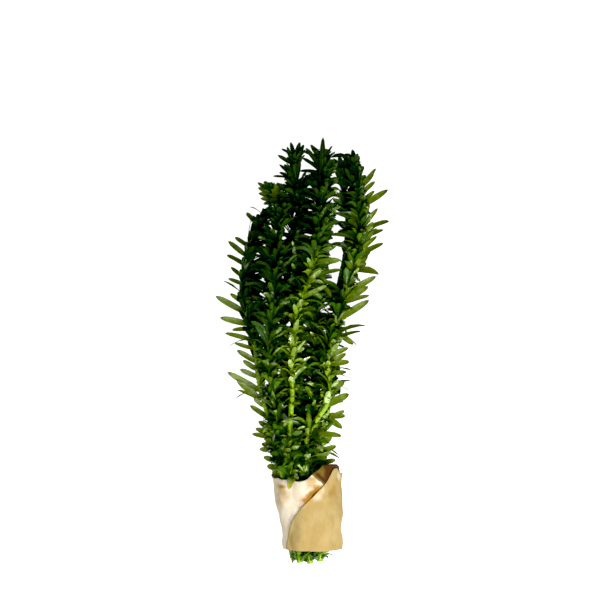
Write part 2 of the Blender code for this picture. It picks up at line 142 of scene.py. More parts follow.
SEEN_LEAVES = {
    "bent": [
        (277, 196, 257, 181.5, 7, 15, 12, 1), (277, 196, 257.5, 187, 7, 10, 12, 4),
        (276, 197, 258, 192.5, 7, 20, 14, 2), (274, 199, 260, 198, 7, 15, 16, 4),
        (273, 201, 263, 203.5, 6.5, 20, 18, 2), (271, 204, 268, 206, 6.5, 15, 20, 4),
        (278, 194, 263.5, 181, 6.5, 30, 10, 3), (284, 320, 286.5, 313, 4, 20, 40, 22, 0.35),
        (292, 190, 274, 184, 7, 15, 20, 12), (290, 194, 271, 189, 7, 15, 20, 12),
        (291, 198, 270, 195, 7, 15, 20, 12), (288, 203, 269, 200, 7, 15, 20, 12),
        (286, 209, 272, 205, 7, 15, 20, 11), (298, 196, 281, 190, 7, 10, 20, 13),
        (298, 203, 280, 198, 7, 10, 20, 13),
    ],
    "left": [
        (260, 212.5, 248.5, 206.5, 4, 85, 50, 2), (251, 222, 244, 213, 4, 80, 25, 2),
        (249.5, 236, 251, 219, 4, 75, 20, 4), (256, 224, 253, 215, 6, 12, 15, 2),
        (260, 222, 257, 213.5, 6, 12, 15, 2), (246, 244.5, 234.5, 237, 6, 10, 15, 3),
        (244, 254, 228, 241, 7, 9, 22, 3), (242, 263, 226.5, 255, 6.5, 20, 40, 3),
        (240, 275, 230.5, 267, 5.5, 15, 20, 2), (241, 283.5, 228, 278.5, 5.5, 15, 20, 2),
        (239, 293, 222, 280.5, 5, 72, 40, 1), (239, 300, 230, 293.5, 6, 12, 15, 2),
        (239, 309, 215.5, 296, 8.5, 5, 10, 4), (245, 323, 220, 317.5, 8.5, 8, 22, 4),
        (246, 329, 232, 330, 6, 12, 30, 3), (246, 338.5, 225, 333, 6.5, 15, 30, 3),
        (248, 347, 234.5, 343, 5.5, 12, 20, 2), (237, 343.5, 228.5, 347, 5, 72, 50, 0),
        (252, 359, 237, 350, 7.5, 8, 25, 3), (251, 371, 243, 360, 7, 5, 15, 3),
        (249, 379, 240, 369, 7, 5, 15, 3), (262, 391, 227.5, 371.5, 8.5, 5, 12, 5),
        (264, 402, 237, 380, 8.5, 5, 12, 5), (264, 402, 237.5, 389.5, 5, 45, 20, 3),
        (246, 395, 235, 399.5, 5, 72, 60, 0), (268, 408, 254, 398, 7, 10, 20, 3),
        (272, 420, 250, 405, 7, 12, 15, 3), (272, 430, 258.5, 420.5, 7.5, 8, 20, 4),
        (272, 434, 255.5, 428, 7.5, 8, 20, 3), (272, 437, 252, 433.5, 6.5, 12, 25, 2),
        (274, 446, 261.5, 443.5, 7.5, 12, 25, 3), (275, 450, 259.5, 448.5, 7.5, 8, 30, 3),
        (277, 461, 263.5, 456.5, 7.5, 10, 25, 3), (279, 468, 267, 465.5, 8.5, 8, 25, 4),
        (280, 474, 272, 471.5, 7, 10, 25, 3), (256, 222, 246, 212, 6, 12, 15, 2),
        (256.5, 284.5, 246.5, 278.5, 4.5, 20, 50, 9, 0.45), (250, 238, 268, 228, 7, 10, 30, 3),
        (250, 250, 268, 240, 7, 10, 30, 3), (250, 266, 267, 256, 7, 10, 30, 3),
        (250, 281, 266, 271, 7, 10, 30, 3), (250, 297, 266, 287, 7, 10, 30, 3),
        (250, 313, 267, 303, 7, 10, 30, 3), (252, 328, 268, 318, 7, 10, 30, 3),
        (256, 223, 270, 214, 6.5, 10, 30, 3), (250, 289, 258, 275, 7, 10, 30, 4),
        (257, 343, 245, 327, 7, 10, 30, 2), (254, 338, 247, 320, 7, 10, 30, 3),
        (256, 336, 262, 322, 7, 10, 30, 4), (250, 273, 250, 262, 4, 20, 50, 9, 0.25),
        (251.5, 305, 254, 294.5, 4, 20, 40, 9, 0.6), (255, 270, 266.5, 268, 4.5, 65, 80, 10, 1),
        (261, 255.5, 267, 250, 4, 20, 50, 12, 0.9), (268, 224, 262, 218.5, 5.5, 20, 50, 9, 0.4),
        (260.5, 356, 266, 347, 4.5, 20, 50, 9, 0.5), (271, 387.5, 266, 380, 4.5, 20, 50, 9, 0.6),
        (269.5, 401, 267.5, 391, 4, 20, 50, 9, 0.6), (286, 427, 277, 419, 7, 10, 50, 10, 0.55),
        (250, 317, 247, 305, 4.5, 20, 40, 7, 0.15),
    ],
    "front_left": [
        (260, 302, 262.5, 290, 6, 10, 40, 10, 0.6), (274, 301, 270.5, 286, 5.5, 10, 40, 9, 0.6),
        (270, 263, 273, 252, 4, 20, 40, 9, 0.5), (279, 237, 275.5, 231, 5.5, 20, 50, 8, 0.25),
        (281, 364, 266, 359.5, 5.5, 15, 40, 9, 0.4), (276, 336, 273.5, 330.5, 3, 20, 40, 9, 0.9),
        (267, 309, 266, 303, 4, 20, 40, 9, 0.3), (262, 243, 258, 238, 5, 20, 40, 9, 0.25),
        (268, 240, 253, 230, 7, 10, 30, 0), (268, 258, 253, 246, 7, 10, 30, 0),
        (268, 290, 252, 279, 7, 10, 30, 0), (268, 306, 252, 295, 7, 10, 30, 0),
        (268, 324, 253, 312, 7, 10, 30, 0), (270, 274, 256, 261, 7, 10, 30, 1),
        (262, 222, 266, 208, 6.5, 10, 20, 2),
    ],
    "upper_left": [
        (287, 160, 277.5, 154.5, 5.5, 12, 15, 2), (286, 156, 281, 148, 4.5, 30, 10, 2),
        (286, 170, 279, 164, 5, 25, 15, 2), (285, 180, 279, 172, 5, 25, 15, 2),
        (282, 181, 272.5, 176, 5, 45, 25, 2), (294, 156, 290.5, 141.5, 6, 10, 8, 3),
        (291, 158, 287, 146, 6, 10, 8, 3), (295.5, 156, 300, 141.5, 6, 12, 10, 3),
        (297, 158, 304, 144, 6, 12, 12, 3), (297, 160, 302, 149, 6, 12, 12, 3),
        (291, 192, 276, 183, 7, 10, 20, 2), (292, 202, 278, 191, 7, 10, 25, 4),
        (300, 186, 306, 178, 6.5, 10, 25, 3), (290, 178, 284, 164, 6.5, 10, 20, 3),
        (297, 176, 300, 160, 6.5, 10, 20, 3), (297, 239, 298.5, 230, 6, 10, 40, 14, 0.4),
        (295, 262, 292.5, 241, 5, 10, 30, 14, 0.3), (294, 250, 292, 242, 5, 10, 30, 15, 0.6),
        (289, 290, 291, 272, 5.5, 10, 30, 15, 0.1), (287, 275, 292, 263, 5.5, 10, 30, 15, 0.15),
    ],
    "centre": [
        (292.5, 470, 289, 486, 9, 5, 105, 10.5, 1), (294, 468, 292.5, 480, 7, 5, 95, 14.5, 1),
        (322, 182, 323, 137.5, 8, 6, 6, 3), (318.5, 156, 310.5, 144.5, 6.5, 10, 20, 3),
        (319, 156, 314, 147, 6.5, 10, 20, 3), (315, 160.5, 305.5, 148, 6.5, 12, 20, 3),
        (312, 160, 303, 151, 5, 30, 20, 2), (314, 166, 302, 158, 6, 20, 40, 2),
        (328, 160, 332.5, 145.5, 5, 50, 10, 1), (316, 174, 299.5, 171.5, 6.5, 35, 60, 3),
        (318, 176, 303, 187, 9, 5, 50, 3), (318, 172, 305, 181, 8, 5, 40, 3),
        (318, 190, 306, 180, 7, 10, 40, 3), (328, 188, 334, 166, 7, 8, 15, 3),
        (328, 178, 333, 160, 7, 8, 15, 3), (318, 262, 340, 260.5, 8.5, 8, 30, 4),
        (322, 275, 341, 270, 6.5, 25, 40, 3), (322, 252, 336, 246.5, 6.5, 12, 30, 2),
        (316, 196, 303, 189, 7, 10, 30, 4), (296, 315, 302.5, 299, 8, 8, 40, 9, 0.25),
        (298, 318, 294, 304, 6.5, 8, 40, 9, 0.1), (312, 293, 326, 286, 7, 10, 40, 7, 0.5),
        (303, 267, 307, 258.5, 6.5, 8, 40, 9, 0.5), (314, 277, 321.5, 270, 6.5, 8, 40, 9, 0.45),
        (296, 327, 298.5, 318.5, 6, 8, 40, 9, 0.2), (293, 388, 291, 375, 8.5, 5, 40, 6, 0.6),
        (306, 404, 300.5, 401.5, 4, 20, 50, 8, 0.9), (305, 452, 300.5, 439.5, 7.5, 8, 40, 9, 0.5),
        (300, 347, 306, 339, 3.5, 20, 40, 8, 0.4), (293, 372, 289.5, 358, 7, 8, 40, 6, 0.05),
        (292, 360, 295.5, 346, 7, 8, 40, 6, 0.1), (293, 348, 290.5, 334, 7, 8, 40, 6, 0.05),
        (293, 336, 297.5, 322, 7, 8, 40, 6, 0.1),
    ],
    "back_centre": [
        (313.5, 385.5, 306.5, 380.5, 5, 20, 50, 16, 0.6), (308, 366.5, 322.5, 363.5, 6.5, 10, 40, 15, 0.45),
        (314, 336.5, 309.5, 331.5, 4.5, 20, 50, 16, 0.8), (320, 344, 314, 336.5, 6, 10, 50, 15, 0.5),
        (317, 406, 315.5, 398.5, 5, 20, 50, 16, 0.4),
    ],
    "right": [
        (354, 161, 330.5, 157.5, 8, 60, 85, 3), (350, 163, 333.5, 164, 7, 60, 70, 3),
        (366, 181, 376, 168.5, 6.5, 12, 10, 3), (366, 182, 374, 174, 6.5, 8, 10, 2),
        (369, 194, 375, 181.5, 6.5, 8, 8, 2), (370, 204, 374.5, 191, 6, 12, 8, 2),
        (371, 207, 388, 190, 8.5, 5, 10, 4), (366, 222, 377.5, 208.5, 6.5, 12, 10, 3),
        (362, 234, 389, 221.5, 8.5, 35, 60, 4), (364, 240, 383.5, 230, 7, 38, 45, 3),
        (364, 247, 376.5, 236.5, 6.5, 12, 20, 3), (362, 254, 383, 243.5, 8, 22, 30, 4),
        (357, 268, 367.5, 256, 7, 10, 15, 3), (359, 272, 378.5, 274.5, 10, 25, 110, 3),
        (357, 287, 375.5, 276.5, 8.5, 8, 45, 5), (352, 296, 368, 286.5, 8.5, 10, 25, 3),
        (352, 300, 369, 295.5, 6.5, 20, 30, 3), (346, 322, 368.5, 300, 9.5, 5, 15, 4),
        (343, 333, 365.5, 325.5, 6.5, 45, 70, 3), (343, 337, 360.5, 331, 6.5, 32, 55, 2),
        (341, 336, 353, 344, 8.5, 10, 60, 3), (347, 337, 357, 346.5, 5, 60, 60, 1),
        (336, 345, 347, 348.5, 4, 60, 30, 1), (331, 362, 345.5, 352.5, 7.5, 8, 25, 3),
        (331, 363, 349, 361, 8, 12, 30, 3), (330, 369, 351, 369.5, 5.5, 60, 50, 2),
        (331, 373, 346, 371, 6.5, 20, 40, 3), (335, 374, 349.5, 378, 4, 75, 40, 1),
        (337, 381, 350.5, 379.5, 4.5, 70, 10, 1), (331, 390, 344, 380, 8.5, 8, 20, 4),
        (338, 386, 349, 390, 3, 80, 40, 0), (330, 402, 348.5, 392.5, 10, 6, 15, 5),
        (310, 436, 341.5, 434.5, 8.5, 35, 70, 4), (352, 229, 329, 224, 6.5, 50, 80, 3),
        (350, 241, 329, 236, 6.5, 50, 80, 3), (347, 249, 330, 245, 6, 50, 80, 2),
        (350, 222, 333, 213, 6.5, 40, 60, 3), (353, 168, 352.5, 149, 7, 8, 5, 2),
        (354, 168, 359, 155, 7, 8, 8, 2), (352, 168, 347, 153, 7, 10, 15, 3),
        (356, 175, 364, 166, 7, 8, 10, 2), (352, 180, 345, 168, 7, 10, 20, 3),
        (356, 186, 366, 175, 7, 8, 10, 2), (356, 262, 370, 252, 7.5, 10, 20, 3),
        (353, 272, 366, 263, 7.5, 10, 25, 4), (336, 352, 348, 347, 7, 12, 35, 3),
        (323, 402.5, 328.5, 389.5, 8.5, 5, 40, 6, 0.8), (362, 228, 372, 214, 7, 8, 20, 4, 0.15),
        (362, 236, 373, 222, 7, 8, 20, 4, 0.1), (361, 245, 374, 231, 7, 8, 20, 4, 0.15),
        (359, 253, 371, 240, 7, 8, 20, 4, 0.1), (362, 218, 369, 206, 6.5, 8, 20, 4, 0.15),
        (357, 261, 366, 249, 7, 8, 20, 5, 0.05), (354, 270, 361, 256, 7, 8, 30, 6, 0.1),
        (351, 280, 358, 267, 7, 8, 30, 6, 0.05), (350, 291, 355, 278, 7, 8, 30, 6, 0.15),
        (351, 274, 350, 260, 6, 8, 30, 6, 0.05), (348, 300, 351, 287, 7, 8, 30, 6, 0.05),
        (366, 235, 377, 229, 6, 12, 20, 3, 0.1), (331, 351.5, 338.5, 342.5, 7.5, 8, 40, 6, 0.5),
        (327, 369.5, 328.5, 359.5, 6.5, 8, 40, 6, 0.55), (335, 389, 338.5, 378.5, 6, 10, 40, 6, 0.5),
        (306, 459, 310.5, 451, 6, 10, 50, 10, 0.6), (304, 472, 304, 462.5, 6, 10, 50, 9, 0.6),
        (299, 475, 296.5, 461, 4.5, 20, 50, 9, 0.4),
    ],
    "back_right": [
        (332, 402, 343.5, 402, 6, 20, 30, 2), (331, 418, 345, 411, 7, 10, 20, 3),
        (332, 416, 345.5, 416.5, 8.5, 8, 30, 3), (329, 420, 342.5, 429, 8.5, 12, 55, 3),
        (318, 448, 332, 437.5, 7.5, 8, 15, 3), (322, 452, 336.5, 446.5, 7.5, 10, 25, 3),
        (333, 449, 341.5, 459.5, 5, 66, 50, 0), (330, 455, 340.5, 460, 5, 66, 30, 0),
        (322, 464, 336, 460.5, 7, 12, 30, 3), (320, 458, 331, 452, 7, 12, 30, 3),
        (342, 182, 333, 162, 7, 8, 20, 3), (342, 176, 339, 154, 7, 8, 15, 3),
        (345, 172, 347, 152.5, 7.5, 8, 10, 3), (345, 182, 341, 170, 7, 8, 15, 3),
        (345, 192, 340, 180, 7, 8, 20, 3),
    ],
}

# The left and right edges of the dense leaves, in pixels: down the photograph, then across it.
LEFT_EDGE = [
    (132, 286), (155, 285), (165, 284), (175, 282), (180, 281), (182, 262), (200, 262), (205, 268),
    (214, 261), (218, 254), (230, 250), (240, 246), (245, 243), (255, 243), (260, 240), (280, 239),
    (300, 237), (315, 240), (320, 243), (340, 243), (346, 248), (352, 252), (372, 254), (380, 258),
    (400, 258), (405, 262), (415, 266), (420, 262), (430, 260), (436, 266), (445, 263), (455, 270),
    (466, 269), (472, 273), (480, 274),
]
RIGHT_EDGE = [
    (132, 327), (148, 329), (149, 357), (160, 360), (170, 365), (180, 365), (190, 368), (200, 372),
    (220, 372), (240, 372), (250, 368), (260, 362), (275, 358), (285, 361), (290, 361), (300, 353),
    (310, 352), (320, 346), (330, 347), (340, 345), (350, 336), (360, 336), (370, 339), (380, 342),
    (385, 339), (395, 342), (405, 333), (415, 340), (425, 332), (435, 328), (450, 333), (460, 328),
    (470, 331), (480, 332),
]


class Clearing(NamedTuple):
    """A spot that is seen right through the bunch, in pixels, where no leaf of a whorl lies."""

    across: float
    down: float
    radius: float


CLEARINGS = [
    (304, 165.5, 3.6), (300.5, 168, 2.3), (308, 166, 2.2), (300, 174.5, 2), (297, 177, 1.5),
    (313.5, 173.5, 1.6), (316, 175.5, 1.2), (342.5, 164.5, 1.6), (345.5, 167, 1.3), (337, 174.5, 2),
    (338, 186.5, 1.6), (347, 190, 1.3), (341, 218, 3), (338.5, 226, 1.3), (333.5, 231, 1.5),
    (338, 230, 1.2), (342, 238, 1.8), (332, 240, 1.5), (338, 241.5, 1.5), (338.5, 251, 4.2),
    (334.5, 254.5, 3.2), (342.5, 257.5, 2.4), (337, 264.5, 3.4), (341.5, 265, 2.6), (333, 267, 2),
    (342.5, 271, 1.5), (338.5, 276, 3.6), (334, 281, 3), (330.5, 280, 1.8), (338.5, 283, 2.4),
    (329.5, 272, 1.5), (330, 307.5, 0.6), (330, 312, 0.8), (336, 295, 1), (293, 215.5, 1.2),
    (290.5, 209.5, 1), (286.5, 231, 1.3), (283.5, 238.5, 1.2), (289.5, 227.5, 1.1), (308, 235, 1.2),
    (283.5, 277.5, 1.4), (286.5, 279.5, 1.3), (285.5, 293.5, 2), (289.5, 324, 1.6), (305.5, 325, 1),
    (271, 341, 1.6), (274, 343.5, 1.2), (255.5, 344, 1.6), (249.5, 375, 2.5), (253.5, 380, 2.3),
    (271.5, 371, 1.4), (278, 374, 1), (266.5, 382, 1.1), (249, 357, 2), (250.5, 363, 1.5),
    (326.5, 446.5, 2.6), (334, 427, 1.6), (331.5, 415, 1.3), (264, 205.5, 1.1), (307, 140, 5),
    (314, 139, 3.5), (295.5, 143.5, 2.5), (340, 141, 5), (336, 146, 3), (331, 140, 3), (344, 147, 3),
    (276, 474.5, 2.2), (280, 475, 2.4), (284, 476, 2),
]


def place_of_pixel(across, down):
    """The place across X and along Y that a pixel of the photograph shows."""
    return (across - PIXEL_ACROSS_OVER_ORIGIN) * PIXEL, (PIXEL_DOWN_OVER_ORIGIN - down) * PIXEL


class Oval(NamedTuple):
    """An oval read off the photograph: its middle and its half sizes in pixels, and how strong what it
    stands for is. One on the paper also says whether it is on the outer layer."""

    across: float
    down: float
    half_across: float
    half_down: float
    strength: float
    on_outer: bool = False

    def measured(self, x, y):
        """How far a place is from the middle across X and along Y, in half sizes."""
        middle_x, middle_y = place_of_pixel(self.across, self.down)
        return (x - middle_x) / (self.half_across * PIXEL), (y - middle_y) / (self.half_down * PIXEL)


def even_rise(value, low, high):
    """0 below low, 1 above high, and even in between."""
    return np.clip((value - low) / (high - low), 0, 1)


def smooth_through(places, values, at):
    """A smooth curve through values: cubic pieces with averaged slopes."""
    places = np.asarray(places, float)
    values = np.asarray(values, float)
    at = np.clip(np.atleast_1d(np.asarray(at, float)), places[0], places[-1])
    slopes = np.gradient(values, places)
    piece = np.clip(np.searchsorted(places, at, side="right") - 1, 0, len(places) - 2)
    width = places[piece + 1] - places[piece]
    t = (at - places[piece]) / width
    rise = values[piece] * (2 * t**3 - 3 * t**2 + 1) + values[piece + 1] * (3 * t**2 - 2 * t**3)
    lean = slopes[piece] * (t**3 - 2 * t**2 + t) + slopes[piece + 1] * (t**3 - t**2)
    return rise + lean * width


def shoot_line(name, count=90):
    """Points along the middle of a shoot's stem, from its cut end to its tip."""
    rows = np.array(SHOOT_LINES[name], float) * MM
    y = np.linspace(rows[0, 0], rows[-1, 0], count)
    x = smooth_through(rows[:, 0], rows[:, 1], y)
    z = smooth_through(rows[:, 0], rows[:, 2], y)
    return np.column_stack((x, y, z))


class Wire:
    """One output socket. Arithmetic on it adds Math nodes, or Vector Math nodes where it carries a
    vector."""

    def __init__(self, board, socket):
        self.board = board
        self.socket = socket

    def __add__(self, other):
        return self.board.combine("ADD", self, other)

    def __radd__(self, other):
        return self.board.combine("ADD", other, self)

    def __sub__(self, other):
        return self.board.combine("SUBTRACT", self, other)

    def __rsub__(self, other):
        return self.board.combine("SUBTRACT", other, self)

    def __mul__(self, other):
        return self.board.combine("MULTIPLY", self, other)

    def __rmul__(self, other):
        return self.board.combine("MULTIPLY", other, self)

    def __truediv__(self, other):
        return self.board.combine("DIVIDE", self, other)

    def __rtruediv__(self, other):
        return self.board.combine("DIVIDE", other, self)

    def __pow__(self, other):
        return self.board.combine("POWER", self, other)

    def __neg__(self):
        return self * -1.0

    def sin(self):
        return self.board.combine("SINE", self)

    def cos(self):
        return self.board.combine("COSINE", self)

    def floor(self):
        return self.board.combine("FLOOR", self)

    def size(self):
        return self.board.combine("ABSOLUTE", self)

    def most(self, other):
        return self.board.combine("MAXIMUM", self, other)

    def least(self, other):
        return self.board.combine("MINIMUM", self, other)

    def ramp(self, low, high):
        """0 below low and 1 above high, with a smooth rise between them."""
        return self.board.wire("ShaderNodeMapRange", {"interpolation_type": "SMOOTHSTEP"},
                               {"Value": self, "From Min": low, "From Max": high}, "Result")

    def part(self, axis):
        """One number of a vector."""
        return self.board.wire("ShaderNodeSeparateXYZ", {}, {0: self}, axis)

    def cross(self, other):
        return self.board.wire("ShaderNodeVectorMath", {"operation": "CROSS_PRODUCT"}, {0: self, 1: other})

    def unit(self):
        return self.board.wire("ShaderNodeVectorMath", {"operation": "NORMALIZE"}, {0: self})


class Board:
    """A node tree that is being wired."""

    def __init__(self, tree):
        self.tree = tree

    def feed(self, socket, value):
        if isinstance(value, Wire):
            self.tree.links.new(value.socket, socket)
        elif socket.type == "RGBA":
            socket.default_value = (*value, 1.0)
        else:
            socket.default_value = value

    def node(self, kind, settings=None, values=None):
        """A node of one kind: its settings are set first, then the values or links of its sockets."""
        made = self.tree.nodes.new(kind)
        for key, value in (settings or {}).items():
            if key == "stops":
                self.set_stops(made.color_ramp, value)
            else:
                setattr(made, key, value)
        for key, value in (values or {}).items():
            self.feed(made.inputs[key], value)
        return made

    def set_stops(self, ramp, stops):
        while len(ramp.elements) < len(stops):
            ramp.elements.new(0.5)
        for element, (place, colour) in zip(ramp.elements, stops):
            element.position = place
            element.color = (*colour, 1.0)

    def wire(self, kind, settings=None, values=None, out=0):
        return Wire(self, self.node(kind, settings, values).outputs[out])

    def combine(self, operation, first, second=None):
        """Arithmetic on numbers, or on vectors where either side is one."""
        vectors = [isinstance(x, tuple) or (isinstance(x, Wire) and x.socket.type == "VECTOR")
                   for x in (first, second)]
        if operation == "MULTIPLY" and vectors[0] != vectors[1]:
            arrow, number = (first, second) if vectors[0] else (second, first)
            return self.wire("ShaderNodeVectorMath", {"operation": "SCALE"}, {0: arrow, "Scale": number})
        values = {0: first} if second is None else {0: first, 1: second}
        kind = "ShaderNodeVectorMath" if any(vectors) else "ShaderNodeMath"
        return self.wire(kind, {"operation": operation}, values)

    def random(self, low, high, number, seed):
        return self.wire("FunctionNodeRandomValue", {"data_type": "FLOAT"},
                         {2: low, 3: high, "ID": number, "Seed": seed}, 1)

    def arrow(self, x, y, z):
        return self.wire("ShaderNodeCombineXYZ", {}, {0: x, 1: y, 2: z})

    def mix(self, factor, first, second):
        """A colour between two colours."""
        return self.wire("ShaderNodeMix", {"data_type": "RGBA"}, {0: factor, 6: first, 7: second}, 2)

    def noise(self, place, scale, detail):
        values = {"Vector": place, "Scale": scale, "Detail": detail}
        return self.wire("ShaderNodeTexNoise", {}, values, "Fac")

    def cells(self, place, scale):
        return self.wire("ShaderNodeTexVoronoi", {}, {"Vector": place, "Scale": scale}, "Distance")

    def carried(self, name, out="Fac"):
        """What a mesh carries under a name, for a material."""
        return self.wire("ShaderNodeAttribute", {"attribute_name": name}, {}, out)

    def store(self, geometry, name, value, kind="FLOAT"):
        return self.wire("GeometryNodeStoreNamedAttribute", {"data_type": kind, "domain": "POINT"},
                         {"Geometry": geometry, "Name": name, "Value": value})

    def stored(self, name, kind="FLOAT"):
        """What a geometry carries under a name, for the nodes that shape it."""
        return self.wire("GeometryNodeInputNamedAttribute", {"data_type": kind}, {"Name": name})

    def sampled(self, geometry, value, index, kind="FLOAT"):
        """A value at one point of a geometry."""
        return self.wire("GeometryNodeSampleIndex", {"data_type": kind, "domain": "POINT", "clamp": True},
                         {"Geometry": geometry, "Value": value, "Index": index})

    def of_object(self, given):
        """The geometry of a given object, in its own space."""
        return self.wire("GeometryNodeObjectInfo", {"transform_space": "ORIGINAL"}, {"Object": given},
                         "Geometry")

    def moved(self, geometry, place):
        return self.wire("GeometryNodeSetPosition", {}, {"Geometry": geometry, "Position": place})

    def finished(self, geometry, material):
        """A geometry as a plain mesh, with its material."""
        mesh = self.wire("GeometryNodeRealizeInstances", {}, {0: geometry})
        return self.wire("GeometryNodeSetMaterial", {}, {"Geometry": mesh, "Material": material})

    def glossy(self, sockets):
        """The shader of a surface, with the values or links of its sockets."""
        return self.wire("ShaderNodeBsdfPrincipled", {}, sockets)

    def bumpy(self, strength, distance, height):
        values = {"Strength": strength, "Distance": distance, "Height": height}
        return self.wire("ShaderNodeBump", {}, values)

    def blended(self, factor, first, second):
        """A shader between two shaders."""
        return self.wire("ShaderNodeMixShader", {}, {0: factor, 1: first, 2: second})

    def glowing(self, colour):
        """The shader of light that comes through."""
        return self.wire("ShaderNodeBsdfTranslucent", {}, {"Color": colour})


def new_tree(name, inputs):
    """A Geometry Nodes tree with named inputs of each kind: its board, the inputs as wires, and the
    socket that its result goes to."""
    tree = bpy.data.node_groups.new(name, "GeometryNodeTree")
    for kind, titles in inputs.items():
        for title in titles:
            tree.interface.new_socket(title, in_out="INPUT", socket_type=f"NodeSocket{kind}")
    tree.interface.new_socket("Geometry", in_out="OUTPUT", socket_type="NodeSocketGeometry")
    board = Board(tree)
    source = tree.nodes.new("NodeGroupInput")
    target = tree.nodes.new("NodeGroupOutput")
    wires = {title: Wire(board, source.outputs[title]) for titles in inputs.values() for title in titles}
    return board, wires, target.inputs[0]


def run_tree(obj, tree, values, name):
    """Run a tree on an object and keep the result as a plain mesh object at the origin."""
    modifier = obj.modifiers.new("nodes", "NODES")
    modifier.node_group = tree
    for item in tree.interface.items_tree:
        if item.in_out == "INPUT" and item.name in values:
            modifier[item.identifier] = values[item.name]
    depsgraph = bpy.context.evaluated_depsgraph_get()
    mesh = bpy.data.meshes.new_from_object(obj.evaluated_get(depsgraph), preserve_all_data_layers=True,
                                           depsgraph=depsgraph)
    mesh.name = name
    bpy.data.objects.remove(obj, do_unlink=True)
    return added(name, mesh)


def added(name, data):
    """A new object with the given data, in the scene."""
    made = bpy.data.objects.new(name, data)
    bpy.context.collection.objects.link(made)
    return made


def shoot_curve(name):
    """The line of a shoot as a curve object, up to just below its tip."""
    points = shoot_line(name)[:-2]
    curve = bpy.data.curves.new(name, "CURVE")
    curve.dimensions = "3D"
    spline = curve.splines.new("POLY")
    spline.points.add(len(points) - 1)
    spline.points.foreach_set("co", np.column_stack((points, np.ones(len(points)))).ravel())
    return added(f"line_{name}", curve)


def new_material(name):
    """A material without nodes: the material, its board, and the wire of the place on the object."""
    material = bpy.data.materials.new(name)
    material.use_nodes = True
    material.node_tree.nodes.clear()
    board = Board(material.node_tree)
    return material, board, board.wire("ShaderNodeTexCoord", {}, {}, "Object")


def finish_material(board, shader):
    board.node("ShaderNodeOutputMaterial", {}, {"Surface": shader})


# Leaves

# The places along and across a leaf where its mesh has points.
LEAF_ROWS = (0.0, 0.15, 0.35, 0.6, 0.8, 0.93, 1.0)
LEAF_COLUMNS = (-1.0, -0.5, 0.0, 0.5, 1.0)
# The outline of a leaf: its width at its foot, as a share, and the stretch where it has its full width.
LEAF_FOOT_WIDTH = 0.45
LEAF_WIDE_FROM = 0.3
LEAF_WIDE_TO = 0.6
# The height of the dome over a leaf's edges, and the depth of the groove along its middle, in thicknesses.
LEAF_DOME = 0.5
LEAF_GROOVE = 0.3


def leaf_outline(s):
    """Half the width of a leaf at s along it, as a share of its widest half: narrow at its foot, blunt at
    its tip."""
    if s < LEAF_WIDE_FROM:
        return LEAF_FOOT_WIDTH + (1 - LEAF_FOOT_WIDTH) * math.sin(math.pi / 2 * s / LEAF_WIDE_FROM)
    if s < LEAF_WIDE_TO:
        return 1.0
    return (1 - ((s - LEAF_WIDE_TO) / (1 - LEAF_WIDE_TO)) ** 2.2) ** 0.62


def leaf_template():
    """A closed flat leaf of unit length and half width for the nodes to bend: domed, grooved above and
    keeled below along its middle."""
    bm = bmesh.new()
    upper, lower = [], []
    for s in LEAF_ROWS[:-1]:
        half = leaf_outline(s)
        tops, unders = [], []
        for c in LEAF_COLUMNS:
            dome = LEAF_DOME * (1 - c * c)
            middle = LEAF_GROOVE if c == 0 else 0
            top = bm.verts.new((c * half, s, dome - middle))
            tops.append(top)
            at_edge = abs(c) == 1
            unders.append(top if at_edge else bm.verts.new((c * half, s, -dome - middle)))
        upper.append(tops)
        lower.append(unders)
    point = bm.verts.new((0, 1, 0))
    strips = range(len(LEAF_COLUMNS) - 1)
    for rows, step in ((upper, 1), (lower, -1)):
        for near, far in zip(rows, rows[1:]):
            for i in strips:
                bm.faces.new((near[i], near[i + 1], far[i + 1], far[i])[::step])
        for i in strips:
            bm.faces.new((rows[-1][i], rows[-1][i + 1], point)[::step])
    base = upper[0] + lower[0][-2:0:-1]
    bm.faces.new(base[::-1])
    mesh = bpy.data.meshes.new("leaf_template")
    bm.to_mesh(mesh)
    bm.free()
    return added("leaf_template", mesh)


# The farthest that a leaf's root can lie from the start of its seen part, if it isn't the nearest point of
# the stem, and the number of points of the stem that are looked at.
FARTHEST_ROOT = 14 * PIXEL
FINE_LINE_POINTS = 600
# A leaf's width in pixels takes in the blur at its edges, and its blade has this share of it.
BLADE_SHARE = 0.76
# What varies from one single leaf to the next: its least and greatest value.
SINGLE_SPREADS = {"roll": (-0.1, 0.1), "twist": (-0.3, 0.3), "fold": (0.05, 0.3), "wave": (0.0, 6.28)}
# A single leaf whose tip is below this place, and above this height, hangs out over the rim of the paper.
OVER_RIM_Y = -84 * MM
OVER_RIM_HEIGHT = 36 * MM


def root_along_shoot(line, base, tip):
    """The point of a shoot's line where a leaf grows: where the leaf meets it if it is drawn on past its
    base, or else the point nearest to its base."""
    flat = line[:, :2]
    away = (base - tip) / np.linalg.norm(base - tip)
    from_tip = flat - tip
    beside = from_tip @ np.array([-away[1], away[0]])
    crossings = np.nonzero((beside[1:] * beside[:-1] < 0) & (from_tip[:-1] @ away > 0))[0]
    to_base = np.linalg.norm(flat - base, axis=1)
    best = int(np.argmin(to_base))
    if len(crossings):
        crossing = min(crossings, key=lambda k: abs(k - best))
        if to_base[crossing] < FARTHEST_ROOT:
            best = crossing
    return line[best]


def edge_places(edge):
    """An edge of the dense leaves, from the foot upwards: places across X and along Y."""
    down, across = np.array(edge[::-1], float).T
    return place_of_pixel(across, down)


def shade_of_single(x, y):
    """How deep the painted shade of a single leaf is by the place of its tip: deep near the tips of the
    bunch, and less so at its upper left."""
    at_tips = even_rise(y - 0.8 * np.maximum(x, 0), 80 * MM, 120 * MM)
    at_left = even_rise(y, 30 * MM, 60 * MM) * even_rise(-x, 0, 10 * MM)
    return np.maximum(at_tips, at_left * 0.7)


